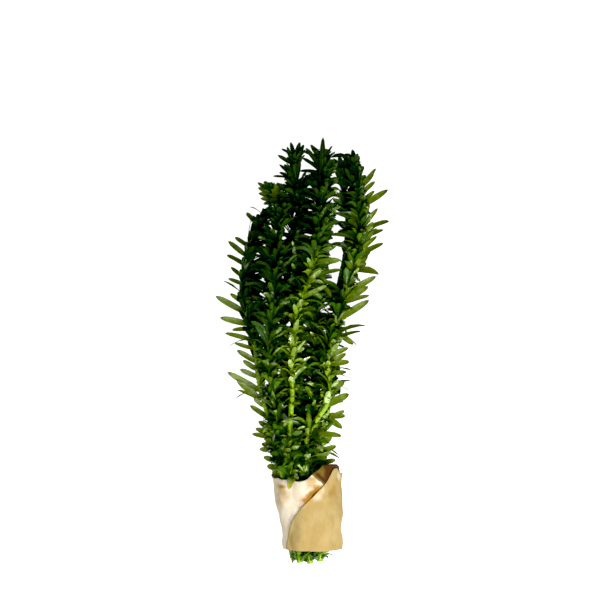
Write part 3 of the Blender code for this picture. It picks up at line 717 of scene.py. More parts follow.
def past_dense_leaves(x, y):
    """1 for each place that lies more than a pixel past the edges of the dense leaves, or else 0."""
    left_x, left_y = edge_places(LEFT_EDGE)
    right_x, right_y = edge_places(RIGHT_EDGE)
    past_left = x < np.interp(y, left_y, left_x) - PIXEL
    past_right = x > np.interp(y, right_y, right_x) + PIXEL
    return (past_left | past_right).astype(float)


def single_leaves(name):
    """A mesh of one point for each single leaf of a shoot, with the settings of that leaf."""
    line = shoot_line(name, FINE_LINE_POINTS)
    gloom = SHOOT_HABITS[name].gloom
    leaves = [SeenLeaf(*row) for row in SEEN_LEAVES[name]]
    columns = {key: np.array([getattr(leaf, key) for leaf in leaves], float) for key in SeenLeaf._fields}

    # A leaf runs from its root on the stem to its tip, and its face turns from straight up by its turn.
    bases = np.column_stack(place_of_pixel(columns["base_across"], columns["base_down"]))
    tips = np.column_stack(place_of_pixel(columns["tip_across"], columns["tip_down"]))
    roots = np.array([root_along_shoot(line, base, tip) for base, tip in zip(bases, tips)])
    flat_reach = np.linalg.norm(tips - roots[:, :2], axis=1)
    hidden = np.linalg.norm(bases - roots[:, :2], axis=1) / flat_reach
    tips = np.column_stack((tips, roots[:, 2] + columns["rise"] * MM))
    chord = np.linalg.norm(tips - roots, axis=1)
    along = (tips - roots) / chord[:, None]
    up = np.array([0, 0, 1]) - along * along[:, 2:]
    up /= np.linalg.norm(up, axis=1)[:, None]
    beside = np.cross(along, up)
    beside *= np.sign(beside[:, 1:2])
    turn = np.radians(columns["turn"])[:, None]
    outward = -up * np.cos(turn) - beside * np.sin(turn)
    bend = np.radians(columns["bend"])

    # Its painted shade follows from the place of its tip, and what else varies is picked. Its tone and
    # light carry that painted shade, and one with a painted highlight is fresh and lit: greener, with less
    # painted shade.
    picks = np.random.default_rng(5).random((len(leaves), 4))
    x, y, z = tips.T
    shade = shade_of_single(x, y) * gloom
    outlying = np.maximum(past_dense_leaves(x, y), 1 - gloom)
    over_rim = ((y < OVER_RIM_Y) & (z > OVER_RIM_HEIGHT)).astype(float)
    shine = columns["shine"]
    settings = {
        "leaf_length": chord * bend / 2 / np.sin(bend / 2),
        "leaf_width": columns["width"] * PIXEL * BLADE_SHARE,
        "start": -bend / 2,
        "bend": bend,
        "tone": (1 - shade) * (0.6 + 0.4 * picks[:, 0]) + over_rim * 0.6,
        "shade": shade,
        "fresh": (shine > 0) * (1 - shade) * 0.8,
        "single": np.maximum(outlying, over_rim * 2),
        "shine": shine,
        "hidden": hidden,
    }
    for (key, (least, greatest)), picked in zip(SINGLE_SPREADS.items(), picks.T):
        settings[key] = least + picked * (greatest - least)
    made = point_object(f"single_{name}", roots, settings)
    for key, arrows in (("root", roots), ("along", along), ("outward", outward)):
        made.data.attributes.new(key, "FLOAT_VECTOR", "POINT").data.foreach_set("vector", arrows.ravel())
    return made


def point_object(name, points, values):
    """A mesh of loose points that carry named numbers."""
    mesh = bpy.data.meshes.new(name)
    mesh.vertices.add(len(points))
    mesh.vertices.foreach_set("co", np.asarray(points, float).ravel())
    for key, numbers in values.items():
        mesh.attributes.new(key, "FLOAT", "POINT").data.foreach_set("value", numbers)
    return added(name, mesh)


EDGE_STEP = 1 * MM


def mass_edges():
    """A point for each step along Y, with how far the whorls reach to either side there."""
    reaches = {}
    left_y = edge_places(LEFT_EDGE)[1]
    steps = np.arange(left_y[0], left_y[-1], EDGE_STEP)
    for side, edge in (("left", LEFT_EDGE), ("right", RIGHT_EDGE)):
        x, y = edge_places(edge)
        reaches[side] = np.interp(steps, y, x)
    return point_object("mass_edges", np.column_stack((steps * 0, steps, steps * 0)), reaches)


def clearing_points():
    """A point at each open spot, with its radius."""
    spots = [Clearing(*row) for row in CLEARINGS]
    places = [(*place_of_pixel(spot.across, spot.down), 0.0) for spot in spots]
    return point_object("clearings", places, {"radius": np.array([spot.radius for spot in spots]) * PIXEL})


def leaf_spine(root, along, outward, length, start, bend, s):
    """The middle of a leaf at s along it: an arc from its root."""
    angle = start + bend * s
    return (root + along * (length * (angle.sin() - start.sin()) / bend)
            + outward * (length * (start.cos() - angle.cos()) / bend))


# The places along a leaf where it is tested for straying.
STRAY_TESTS = (0.25, 0.4, 0.55, 0.7, 0.85, 1.0)


def strays(board, given, spine):
    """Whether a leaf reaches past the sides of the bunch, past its shoot's top or into an open spot."""
    sides = board.of_object(given["Mass edges"])
    spots = board.of_object(given["Clearings"])
    foot_of_sides = edge_places(LEFT_EDGE)[1][0]
    found = 0.0
    for s in STRAY_TESTS:
        point = spine(s)
        x, y = point.part("X"), point.part("Y")
        step = ((y - foot_of_sides) / EDGE_STEP).floor()
        left = board.combine("LESS_THAN", x, board.sampled(sides, board.stored("left"), step))
        right = board.combine("GREATER_THAN", x, board.sampled(sides, board.stored("right"), step))
        flat = board.arrow(x, y, 0.0)
        nearest = board.wire("GeometryNodeSampleNearest", {"domain": "POINT"},
                             {"Geometry": spots, "Sample Position": flat})
        centre = board.sampled(spots, board.wire("GeometryNodeInputPosition"), nearest, "FLOAT_VECTOR")
        radius = board.sampled(spots, board.stored("radius"), nearest)
        gap = board.wire("ShaderNodeVectorMath", {"operation": "DISTANCE"}, {0: flat, 1: centre}, "Value")
        inside = board.combine("LESS_THAN", gap, radius + given["Clearance"])
        above = board.combine("GREATER_THAN", y, given["Top"])
        found = left.most(right).most(inside).most(above).most(found)
    return found


# The shares of its length that a leaf is cut back to, in turn, until it strays nowhere.
SHORTENED = (1.0, 0.75, 0.52)
# Where the first whorl stands, as a share of the way from the cut end to the next one, and the turn from
# one whorl to the next, in radians.
FIRST_WHORL = 0.3
WHORL_TURN = 2.4
# The height that the nodes turn the tip of a leaf up to, where it would reach lower.
LOWEST_TIP = 0.8 * MM
# The share of the stem's radius at which a leaf is rooted.
ROOT_DEPTH = 0.8
# The share of its length that a small leaf of a sparse stretch loses.
SMALL_LEAF_LOSS = 0.55
# Where a blade nears the surface it is pressed: the height this starts at, and the lowest height left.
PRESS_FROM = 1.8 * MM
LOWEST_BLADE = 0.2 * MM
# How much thinner a leaf is at its tip, as a share, its ripples, as radians of a wave along it, and their
# depth against its half width.
LEAF_TAPER = 0.5
RIPPLES = 9.0
RIPPLE_DEPTH = 0.18
# What varies from leaf to leaf of the whorls: its least and greatest value.
SPREADS = {
    "place": (-0.16, 0.16),
    "turn": (-0.35, 0.35),
    "length": (0.6, 1.15),
    "width": (0.85, 1.12),
    "tilt": (0.5, 1.5),
    "bend": (0.3, 1.7),
    "twist": (-0.6, 0.6),
    "fold": (0.05, 0.4),
    "wave": (0.0, 6.28),
    "tone": (0.0, 1.0),
    "roll": (-1.0, 1.0),
    "loss": (0.0, 1.0),
}
# How much less of it a young leaf has, as a share.
YOUNG_LESS = {"length": 0.35, "width": 0.15, "tilt": 0.6, "bend": 0.4, "roll": 0.5}


def whorl_points(board, given):
    """A point for every leaf of the whorls along a curve, with the settings of that leaf."""
    number = board.wire("GeometryNodeInputIndex")
    in_whorl = given["Leaves in a whorl"]
    whorl = (number / in_whorl).floor()
    member = number - whorl * in_whorl

    def pick(what):
        step = list(SPREADS).index(what) + 1
        return board.random(*SPREADS[what], number, given["Seed"] + step)

    # The whorls stand closer towards the tip, where the leaves are young.
    share = (whorl + pick("place") + FIRST_WHORL) / given["Whorls"]
    factor = (1.0 - (1.0 - share).most(0.0) ** given["Crowding"]).most(0.0).least(0.998)
    reading = board.node("GeometryNodeSampleCurve", {"mode": "FACTOR", "use_all_curves": True},
                         {"Curves": given["Geometry"], "Factor": factor})
    place = Wire(board, reading.outputs["Position"])
    along = Wire(board, reading.outputs["Tangent"])
    length = board.wire("GeometryNodeCurveLength", {}, {0: given["Geometry"]})
    young = 1.0 - ((1.0 - factor) * length / given["Young stretch"]).least(1.0)
    young = young * (2.0 - young)

    def grown(what, setting):
        return setting * pick(what) * (1.0 - young * YOUNG_LESS[what])

    leaf_length = grown("length", given["Leaf length"])
    leaf_width = grown("width", given["Leaf width"])
    start = grown("tilt", given["Base tilt"])
    bend = grown("bend", given["Bend"])

    # A leaf goes round the stem in its turn, but one that would reach below the surface turns up.
    side = along.cross((0.0, 0.0, 1.0)).unit()
    over = side.cross(along)
    turn = member * math.tau / in_whorl + whorl * WHORL_TURN + pick("turn")
    outward = side * turn.cos() + over * turn.sin()
    reach = leaf_length * (start.cos() - (start + bend).cos()) / bend
    rise = place.part("Z") + along.part("Z") * leaf_length * 0.5
    upward = outward.part("Z").most((LOWEST_TIP - rise) / reach)
    flat_x = outward.part("X")
    flat_y = outward.part("Y")
    flat_size = (flat_x * flat_x + flat_y * flat_y + 0.0001) ** 0.5
    level = (1.0 - upward * upward).most(0.0001) ** 0.5 / flat_size
    outward = board.arrow(flat_x * level, flat_y * level, upward).unit()
    outward = along.cross(outward.cross(along)).unit()

    # On its sparse stretch a shoot has small leaves in front. A leaf is cut back until it strays nowhere.
    y = place.part("Y")
    sparse = (board.combine("GREATER_THAN", y, given["Sparse from"])
              * board.combine("LESS_THAN", y, given["Sparse to"]))
    small = sparse * outward.part("Z").ramp(0.1, 0.6)
    root = place + outward * given["Stem radius"] * ROOT_DEPTH
    whole = leaf_length
    full = leaf_length * (1.0 - small * SMALL_LEAF_LOSS)
    leaf_length = full * SHORTENED[-1]
    stray = 1.0
    for cut in SHORTENED:
        out = strays(board, given, lambda s: leaf_spine(root, along, outward, full * cut, start, bend, s))
        leaf_length = leaf_length + (full * cut - leaf_length) * (1.0 - out) * stray
        stray = stray * out

    line = board.wire("GeometryNodeMeshLine", {"mode": "OFFSET", "count_mode": "TOTAL"},
                      {"Count": given["Whorls"] * in_whorl})
    for name, value in (("root", root), ("along", along), ("outward", outward)):
        line = board.store(line, name, value, "FLOAT_VECTOR")
    for name, value in {
        "leaf_length": leaf_length,
        "leaf_width": leaf_width * (leaf_length / whole) ** 0.6,
        "start": start,
        "bend": bend,
        "roll": grown("roll", given["Roll"]),
        "twist": pick("twist"),
        "fold": pick("fold"),
        "wave": pick("wave"),
        # Tone and light: a random tone, with painted light on leaves that point to the right, and a small
        # front leaf lighter.
        "tone": (pick("tone") + outward.part("X") * 0.12).least(1.0).most(small),
        "shade": 0.0,
        "fresh": small,
        "single": 0.0,
    }.items():
        line = board.store(line, name, value)
    bare = (board.combine("GREATER_THAN", y, given["Bare from"])
            * board.combine("LESS_THAN", y, given["Bare to"]))
    missing = board.combine("GREATER_THAN", small * pick("loss"), given["Kept"])
    return board.wire("GeometryNodeDeleteGeometry", {"domain": "POINT"},
                      {"Geometry": line, "Selection": bare.most(missing).most(stray)})


def leaf_tree():
    """Whorls of leaves along a curve and single leaves, each bent, twisted and kept above the surface."""
    board, given, result = new_tree("leaf_whorls", {
        "Geometry": ("Geometry",),
        "Object": ("Leaf", "Single leaves", "Mass edges", "Clearings"),
        "Material": ("Material",),
        "Int": ("Whorls", "Leaves in a whorl", "Seed"),
        "Float": (
            "Leaf length", "Leaf width", "Leaf thickness", "Crowding", "Base tilt", "Bend", "Roll",
            "Young stretch", "Stem radius", "Bare from", "Bare to", "Sparse from", "Sparse to", "Kept",
            "Top", "Clearance",
        ),
    })
    join = board.node("GeometryNodeJoinGeometry")
    board.feed(join.inputs[0], board.of_object(given["Single leaves"]))
    board.feed(join.inputs[0], whorl_points(board, given))
    points = board.moved(Wire(board, join.outputs[0]), (0.0, 0.0, 0.0))
    flat_leaf = board.store(board.of_object(given["Leaf"]), "leaf_place",
                            board.wire("GeometryNodeInputPosition"), "FLOAT_VECTOR")
    leaves = board.wire("GeometryNodeInstanceOnPoints", {}, {"Points": points, "Instance": flat_leaf})
    leaves = board.wire("GeometryNodeRealizeInstances", {}, {0: leaves})

    own, root, along, outward = (
        board.stored(name, "FLOAT_VECTOR") for name in ("leaf_place", "root", "along", "outward"))
    leaf_length, leaf_width, start, bend, roll, twist, fold, wave = (
        board.stored(name)
        for name in ("leaf_length", "leaf_width", "start", "bend", "roll", "twist", "fold", "wave"))
    s, across, lift = own.part("Y"), own.part("X"), own.part("Z")
    half_width = leaf_width * 0.5
    angle = start + bend * s
    spine = leaf_spine(root, along, outward, leaf_length, start, bend, s)
    facing = along * angle.sin() - outward * angle.cos()
    cross = outward.cross(along)
    lean = roll + twist * s
    wide = cross * lean.cos() + facing * lean.sin()
    face = facing * lean.cos() - cross * lean.sin()
    hollow = across.size() * half_width * fold
    ripple = (s * RIPPLES + wave).sin() * across * half_width * RIPPLE_DEPTH
    body = lift * given["Leaf thickness"] * (1.0 - s * LEAF_TAPER)
    point = spine + wide * (across * half_width) + face * (body + hollow + ripple)

    height = point.part("Z")
    room = PRESS_FROM - LOWEST_BLADE
    pressed = room * board.combine("EXPONENT", ((height - PRESS_FROM) / room).least(0.0)) + LOWEST_BLADE
    height = height.most(PRESS_FROM) + (pressed - PRESS_FROM).least(0.0)
    leaves = board.moved(leaves, board.arrow(point.part("X"), point.part("Y"), height))
    board.feed(result, board.finished(leaves, given["Material"]))
    return board.tree


# The whorls get painted shade from a slanting line through the origin on to the upper left, and at their
# tips.
SHADE_SLANT = 2.0
SHADE_REACH = 110 * MM
TIP_SHADE = 0.85
TIP_SHADE_FROM = 85 * MM
TIP_SHADE_TO = 125 * MM
# Where that painted shade is lighter.
SHADE_GAPS = [Oval(338.5, 181.5, 10, 31.5, 0.55), Oval(274, 194, 22, 15, 0.7)]


def shade_of_bunch(x, y):
    """How deep the painted shade of the leaves of the whorls is at a place."""
    at_tips = y.ramp(TIP_SHADE_FROM, TIP_SHADE_TO) * TIP_SHADE
    deep = (y - x * SHADE_SLANT).ramp(0.0, SHADE_REACH).most(at_tips)
    for gap in SHADE_GAPS:
        across, along = gap.measured(x, y)
        far = (across ** 2.0 + along ** 2.0).ramp(0.0, 1.0)
        deep = deep * (1.0 - (1.0 - far) * gap.strength)
    return deep


def leaf_material(looks):
    """Wet leaf: nearly black in painted shade and olive where it stands out singly, partly from painted
    light coming through from behind, with a pale midrib, worn tips and painted pale highlights."""
    material, board, spot = new_material("waterweed_leaf")
    x, y = spot.part("X"), spot.part("Y")
    tone, standing, shade, fresh, shine, hidden = (
        board.carried(name) for name in ("tone", "single", "shade", "fresh", "shine", "hidden"))
    own = board.carried("leaf_place", "Vector")
    s, across = own.part("Y"), own.part("X").size()
    cloud = board.noise(spot, 45.0, 2.0)
    mottle = board.noise(spot, 260.0, 2.0)
    waves = board.noise(spot, 500.0, 1.0)
    cells = board.cells(spot, 1600.0)

    # A single leaf carries 1 under that name, or 2 where it hangs over the rim of the paper.
    single = standing.least(1.0)
    over_rim = (standing - 1.0).most(0.0)
    # Painted shade: by place in the bunch, or a single leaf's own, weaker on fresh leaves and on a leaf's
    # underside.
    upward = board.wire("ShaderNodeNewGeometry", {}, {}, "Normal").part("Z")
    facing = upward.ramp(0.0, 0.5) * 0.85 + 0.15
    gloom = (shade_of_bunch(x, y) * (1.0 - single)).most(shade) * (1.0 - fresh * 0.6) * facing

    # The green of the blade, by its tone and mottling, darkened by painted shade and lifted by painted
    # light upwards of 40 mm below the origin, greener where fresh and lit, and olive on single leaves,
    # partly their own colour and partly painted light coming through from behind.
    lit = (tone * 0.6 + cloud * 0.5 - 0.09 + y.ramp(-0.04, 0.02) * 0.09) * (1.0 - gloom * 0.85)
    greens = [(0.0, looks.dark_green), (0.45, looks.mid_green), (0.95, looks.light_green)]
    colour = board.wire("ShaderNodeValToRGB", {"stops": greens}, {"Fac": lit}, "Color")
    colour = board.mix(fresh * 0.65 * (1.0 - gloom), colour, looks.stem_green)
    colour = board.mix(single * (1.0 - shade) * 0.6, colour, looks.olive_green)

    # The worn brown tips of the single leaves, and the yellow tip of the one over the rim.
    worn = single * (1.0 - over_rim) * (s.ramp(0.8, 1.0) + mottle.ramp(0.58, 0.72) * 0.5 * s) * 0.7
    colour = board.mix(worn.least(0.7), colour, looks.tip_brown)
    yellow = over_rim * s.ramp(0.55, 0.78)
    colour = board.mix(yellow * 0.85, colour, looks.tip_yellow)

    # A single leaf has painted pale edges, light coming through from behind, and a leaf of the whorls
    # darker ones.
    edge = across.ramp(0.7, 1.0) * (1.0 - s.ramp(0.7, 0.95)) * single * (1.0 - shade * 0.6) * 0.7
    colour = board.mix(edge, colour, looks.light_green)
    colour = board.mix(across.ramp(0.45, 1.0) * (1.0 - single) * 0.45, colour, looks.dark_green)

    # Painted highlights as pale patches: streaks past the hidden foot of a shining leaf, specks on the
    # rest, and faint patches on the single leaves.
    streak = waves.ramp(0.42, 0.6) * 1.1 + 0.22
    bared = s.ramp(hidden - 0.15, hidden + 0.1)
    glint = (shine * bared * (1.0 - across.ramp(0.25, 0.9) * 0.75) * streak).least(1.0)
    speck = (tone.ramp(0.85, 0.98) * s.ramp(0.25, 0.5) * waves.ramp(0.45, 0.6) * 0.6
             + tone.ramp(0.3, 0.7) * mottle.ramp(0.6, 0.68) * 0.3)
    speck = speck * (1.0 - gloom) * (1.0 - single) * (1.0 - fresh * 0.75)
    patch = single * (1.0 - shade) * (0.5 - mottle).ramp(0.02, 0.14) * s.ramp(0.1, 0.4) * 0.2
    colour = board.mix(speck.most(glint * (1.0 - yellow)).most(patch), colour, looks.painted_highlight_grey)

    # The midrib, which stands up a little.
    rib = (1.0 - across / 0.12).most(0.0) * (1.0 - s)
    colour = board.mix(rib * 0.5, colour, looks.stem_green)
    bump = board.bumpy(0.5, 0.4 * MM, cells * 0.15 + rib * 0.3 + waves * 1.2)

    # Wet and glossy in the light, dull in the shade, and thin enough for light to come through.
    coat = mottle.ramp(0.45, 0.6) * (1.0 - gloom) * (1.0 - single * 0.5) * 0.6
    wet = board.glossy({
        "Base Color": colour, "Roughness": 0.28 + cells * 0.15 + gloom * 0.3, "IOR": 1.4,
        "Specular IOR Level": 0.5, "Normal": bump, "Coat Weight": coat, "Coat Roughness": 0.08})
    dull = board.glossy({"Base Color": colour, "Roughness": 0.8, "Specular IOR Level": 0.1, "Normal": bump})
    thin = (tone * 0.15 + single * 0.35 + 0.15) * (1.0 - gloom * 0.3)
    leaf = board.blended(gloom * 0.85, wet, dull)
    finish_material(board, board.blended(thin, leaf, board.glowing(looks.glow_green)))
    return material


def finish_piece(obj, node, degrees):
    """Smooth a piece but for edges past an angle, and put it in the place of a node, on the one body."""
    obj.data.shade_smooth()
    obj.data.set_sharp_from_angle(angle=math.radians(degrees))
    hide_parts(node)
    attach(obj, "root")


# The seed of the first shoot's leaves, and the step to the next shoot's.
FIRST_SEED = 17
SEED_STEP = 31


def make_leaves(sizes, looks):
    """The leaves of every shoot, as one piece for each shoot."""
    material = leaf_material(looks)
    template = leaf_template()
    tree = leaf_tree()
    edges = mass_edges()
    clearings = clearing_points()
    for index, (name, habit) in enumerate(SHOOT_HABITS.items()):
        single = single_leaves(name)
        leaves = run_tree(shoot_curve(name), tree, {
            "Leaf": template, "Single leaves": single, "Mass edges": edges, "Clearings": clearings,
            "Material": material, "Whorls": habit.whorls, "Leaves in a whorl": sizes.leaves_in_a_whorl,
            "Leaf length": sizes.leaf_length * habit.scale, "Leaf width": sizes.leaf_width,
            "Leaf thickness": sizes.leaf_thickness, "Crowding": sizes.crowding,
            "Base tilt": sizes.base_tilt, "Bend": sizes.bend, "Roll": sizes.roll,
            "Young stretch": sizes.young_stretch, "Stem radius": sizes.stem_foot_radius,
            "Bare from": habit.bare[0] * MM, "Bare to": habit.bare[1] * MM,
            "Sparse from": habit.sparse[0] * MM, "Sparse to": habit.sparse[1] * MM, "Kept": habit.kept,
            "Top": habit.top * MM, "Clearance": sizes.clearance, "Seed": FIRST_SEED + SEED_STEP * index,
        }, f"whorls_{name}")
        bpy.data.objects.remove(single, do_unlink=True)
        keep_in_paper(leaves)
        finish_piece(leaves, f"leaves_{name}", 60)
    for helper in (template, edges, clearings):
        bpy.data.objects.remove(helper, do_unlink=True)


# Stems

STEM_RINGS = 320
STEM_SIDES = 14
# How much thicker a stem is at a whorl, as a share, and the share of the way to the next whorl that this
# takes to fade.
STEM_SWELL = 0.22
STEM_SWELL_REACH = 0.25


def stem_tree():
    """A round stem swept along a curve, a little thicker at each whorl."""
    board, given, result = new_tree("stem_sweep", {
        "Geometry": ("Geometry",),
        "Material": ("Material",),
        "Float": ("Foot radius", "Tip radius", "Crowding"),
        "Int": ("Whorls", "Rings", "Sides"),
    })
    curve = board.wire("GeometryNodeResampleCurve", {},
                       {"Curve": given["Geometry"], "Count": given["Rings"]})
    share = board.wire("GeometryNodeSplineParameter", {}, {}, "Factor")
    whorl = (1.0 - (1.0 - share).most(0.0) ** (1.0 / given["Crowding"])) * given["Whorls"] - FIRST_WHORL
    near = (whorl - (whorl + 0.5).floor()).size()
    swell = (1.0 - near / STEM_SWELL_REACH).most(0.0) ** 1.5
    radius = given["Foot radius"] + (given["Tip radius"] - given["Foot radius"]) * share
    radius = radius * (1.0 + swell * STEM_SWELL)
    curve = board.store(curve, "swell", swell)
    curve = board.store(curve, "share", share)
    circle = board.wire("GeometryNodeCurvePrimitiveCircle", {"mode": "RADIUS"},
                        {"Resolution": given["Sides"], "Radius": 1.0}, "Curve")
    mesh = board.wire("GeometryNodeCurveToMesh", {},
                      {"Curve": curve, "Profile Curve": circle, "Scale": radius, "Fill Caps": True})
    board.feed(result, board.finished(mesh, given["Material"]))
    return board.tree


def stem_material(looks):
    """Smooth wet stem: bright yellow green, darker at the joints and towards the tip, with fine lines
    along it and pale pith where it is cut."""
    material, board, spot = new_material("waterweed_stem")
    swell, share = board.carried("swell"), board.carried("share")
    stretched = board.wire("ShaderNodeMapping", {}, {"Vector": spot, "Scale": (1.0, 0.08, 1.0)})
    lines = board.noise(stretched, 2200.0, 2.0)
    blotch = board.noise(spot, 120.0, 3.0)
    colour = board.mix(share.ramp(0.62, 0.85), looks.stem_green, looks.mid_green)
    darker = (blotch.ramp(0.4, 0.7) * 0.3 + swell * 0.6).least(0.8)
    colour = board.mix(darker, colour, looks.mid_green)
    pores = board.cells(spot, 1900.0)
    pith = board.mix(pores.ramp(0.15, 0.5), looks.mid_green, looks.pith_green)
    cut = (-board.wire("ShaderNodeNewGeometry", {}, {}, "Normal").part("Y")).ramp(0.85, 0.97)
    finish_material(board, board.glossy({
        "Base Color": board.mix(cut, colour, pith), "Roughness": 0.5 + lines * 0.15,
        "Normal": board.bumpy(0.3, 0.3 * MM, lines), "Specular IOR Level": 0.25}))
    return material


def make_stems(sizes, looks):
    """The stem of every shoot."""
    material = stem_material(looks)
    tree = stem_tree()
    for name, habit in SHOOT_HABITS.items():
        stem = run_tree(shoot_curve(name), tree, {
            "Material": material, "Foot radius": sizes.stem_foot_radius,
            "Tip radius": sizes.stem_tip_radius, "Whorls": habit.whorls, "Crowding": sizes.crowding,
            "Rings": STEM_RINGS, "Sides": STEM_SIDES,
        }, f"stalk_{name}")
        finish_piece(stem, f"stem_{name}", 50)


# Paper

# The roll of paper at its foot and at its mouth: the place along Y, and the middle across X, the width
# and the height of its section. The roll is pressed flat where it rests, by this much of its height.
PAPER_FOOT_Y = -139 * MM
PAPER_MOUTH_Y = -88 * MM
PAPER_FOOT_SECTION = (7.5 * MM, 39.5 * MM, 35 * MM)
PAPER_MOUTH_SECTION = (3 * MM, 47.5 * MM, 42 * MM)
PAPER_FLATTENED = 2.5 * MM
# The sheet's size before it was rolled.
PAPER_SHEET_LENGTH = 195 * MM
# The sheet in the roll: its grid of patches, its rim as angles round the roll in degrees and places along
# Y in mm, and its free edge in front, past a whole turn, as places along Y in mm and angles in degrees.
PAPER_COLUMNS = 200
PAPER_ROWS = 48
PAPER_RIM = [
    (15, -80.5), (35, -78.4), (50, -78.2), (62, -79.4), (70, -82.0), (80, -85.2), (90, -88.4), (100, -89.8),
    (120, -89.3), (150, -88.8), (180, -88.0), (215, -85.5), (270, -85.0), (320, -84.0), (350, -86.5),
    (375, -85.0), (392, -81.2), (402, -82.0),
]
PAPER_RIM_UNEVEN = 0.8 * MM
PAPER_FREE_EDGE = [(-139, 512), (-115, 479), (-104, 451), (-95, 427), (-88, 412), (-82, 402)]
PAPER_INNER_EDGE_ANGLE = 15
# The angles between which the outer layer parts from the inner one, and its distance from it in the end.
PAPER_LAYERS_PART_AT = 295
PAPER_LAYERS_APART_AT = 368
PAPER_LAYER_STEP = 0.55 * MM
# The free edge curls off the layer below: how far from the edge the curl starts, and how high it stands.
PAPER_CURL_REACH = 11 * MM
PAPER_CURL_HEIGHT = 0.25 * MM
# The angles between which the look of the inner layer gives way to that of the outer one.
PAPER_OUTER_FROM = 340
PAPER_OUTER_TO = 365
# The painted shadow that the flap casts beside its free edge: how wide it is, where it ends at either
# side along Y, and how it fades.
PAPER_FLAP_SHADOW_REACH = 6.5 * MM
PAPER_FLAP_SHADOW_FROM = -107 * MM
PAPER_FLAP_SHADOW_TO = -91 * MM
PAPER_FLAP_SHADOW_FADE = 4 * MM
# The painted shade in the right corner of the rim: its lower border as angles round the roll and places
# along Y in mm, how it fades along Y and round the roll, and where it is darkest: up to an angle, and in a
# band along the border.
PAPER_CORNER_SHADE = [(45, -94.3), (58, -92.6), (68, -88.8), (84, -84)]
PAPER_CORNER_SHADE_FADE = 1 * MM
PAPER_CORNER_SHADE_FADE_ANGLE = 12
PAPER_DARKEST_TO = 64
PAPER_DARK_BAND = 2 * MM
PAPER_DARK_BAND_WIDTH = 2.5 * MM
# The leaves in the paper: the share of its section that they fill, and the share of that in which they
# lie free. They start to spread this far below the rim, with this reach, and are held up to this far
# above it, and at least this high over the surface.
LEAVES_FILL = 0.95
LEAVES_LIE_FREE = 0.8
LEAVES_SPREAD_FROM = 1 * MM
LEAVES_SPREAD_REACH = 7 * MM
LEAVES_HELD_TO = 12 * MM
LEAVES_LOWEST = 0.6 * MM
# Brown spots and painted fold shade on the front of the paper, as ovals, and painted highlights where the
# strength is below zero.
PAPER_SPOTS_AND_PAINTED_LIGHT = [
    (311, 478.5, 7, 4, 0.75), (316, 483, 7, 1.1, 1), (311, 475.5, 6, 0.9, 0.8), (308, 485.5, 5, 1.2, 0.6),
    (298, 487.5, 6, 0.9, 0.45), (302, 498, 6, 0.9, 0.5), (277, 482, 5, 8, 0.35), (283, 489, 3, 5, 0.6),
    (282, 484.5, 3.5, 1.5, 1.1), (289, 494, 4, 6, 0.35), (280, 500, 8, 10, 0.5),
    (317, 494, 7, 6, -0.55, True), (324, 486, 4, 6, -0.5, True), (338, 475, 2.5, 6, -0.6, True),
    (333, 466, 2.5, 2, 1, True), (334, 486, 3.5, 9, 0.7, True), (337, 497, 3, 5, 0.5, True),
    (326, 482, 3, 4, 0.4, True), (330, 476, 2.5, 6, 0.4, True), (329, 491, 4, 6, 0.8, True),
]
# What each point of the sheet carries for the material.
PAPER_MARKS = ("outer", "damp", "soaked", "spotted")
# Creases of the paper: the direction across them in degrees, their distance in mm, where they start, as a
# share of that distance, and how deep they are in mm. The way round the roll is measured at one radius.
PAPER_CREASES = [(8, 17, 0.1, 0.7), (68, 26, 0.4, 0.45), (-35, 15, 0.7, 0.4), (110, 11, 0.25, 0.2)]
PAPER_CREASE_RADIUS = 22 * MM


def paper_oval(y):
    """The roll's section at y: centre x, centre z, half width, half height."""
    t = (y - PAPER_FOOT_Y) / (PAPER_MOUTH_Y - PAPER_FOOT_Y)
    centre_x, width, height = (a + t * (b - a) for a, b in zip(PAPER_FOOT_SECTION, PAPER_MOUTH_SECTION))
    half_height = (height + PAPER_FLATTENED) / 2
    return centre_x, half_height - PAPER_FLATTENED, width / 2, half_height


def free_edge_angle(y):
    """The angle round the roll of the sheet's free edge at a place along Y."""
    return smooth_through(*zip(*PAPER_FREE_EDGE), y / MM)[0]


def keep_in_paper(leaves):
    """Press the lower leaves against the inside of the paper, and let them spread above its rim."""
    mesh = leaves.data
    points = np.empty(len(mesh.vertices) * 3, np.float32)
    mesh.vertices.foreach_get("co", points)
    points = points.reshape(-1, 3).astype(float)
    x, y, z = points.T
    centre_x, centre_z, half_width, half_height = paper_oval(y)
    across = (x - centre_x) / half_width
    above = (z - centre_z) / half_height
    angle = (np.degrees(np.arctan2(above, across)) - PAPER_INNER_EDGE_ANGLE) % 360 + PAPER_INNER_EDGE_ANGLE
    rim = smooth_through(*zip(*PAPER_RIM), angle) * MM
    spread = np.maximum(y - rim + LEAVES_SPREAD_FROM, 0) / LEAVES_SPREAD_REACH
    limit = LEAVES_FILL + spread**1.5
    free = limit * LEAVES_LIE_FREE
    far = np.hypot(across, above)
    squeezed = free + (limit - free) * (1 - np.exp(-np.maximum(far - free, 0) / (limit - free)))
    share = np.where(far > free, squeezed / np.maximum(far, 1e-6), 1.0)
    single = np.empty(len(mesh.vertices), np.float32)
    mesh.attributes["single"].data.foreach_get("value", single)
    held = (y < rim + LEAVES_HELD_TO) & (single < 1.5)
    points[:, 0] = np.where(held, centre_x + across * share * half_width, x)
    points[:, 2] = np.where(held, np.maximum(centre_z + above * share * half_height, LEAVES_LOWEST), z)
    mesh.vertices.foreach_set("co", points.astype(np.float32).ravel())
    mesh.update()


def zigzag(x):
    """A triangle wave between -1 and 1."""
    return 4 * abs(x - math.floor(x + 0.5)) - 1


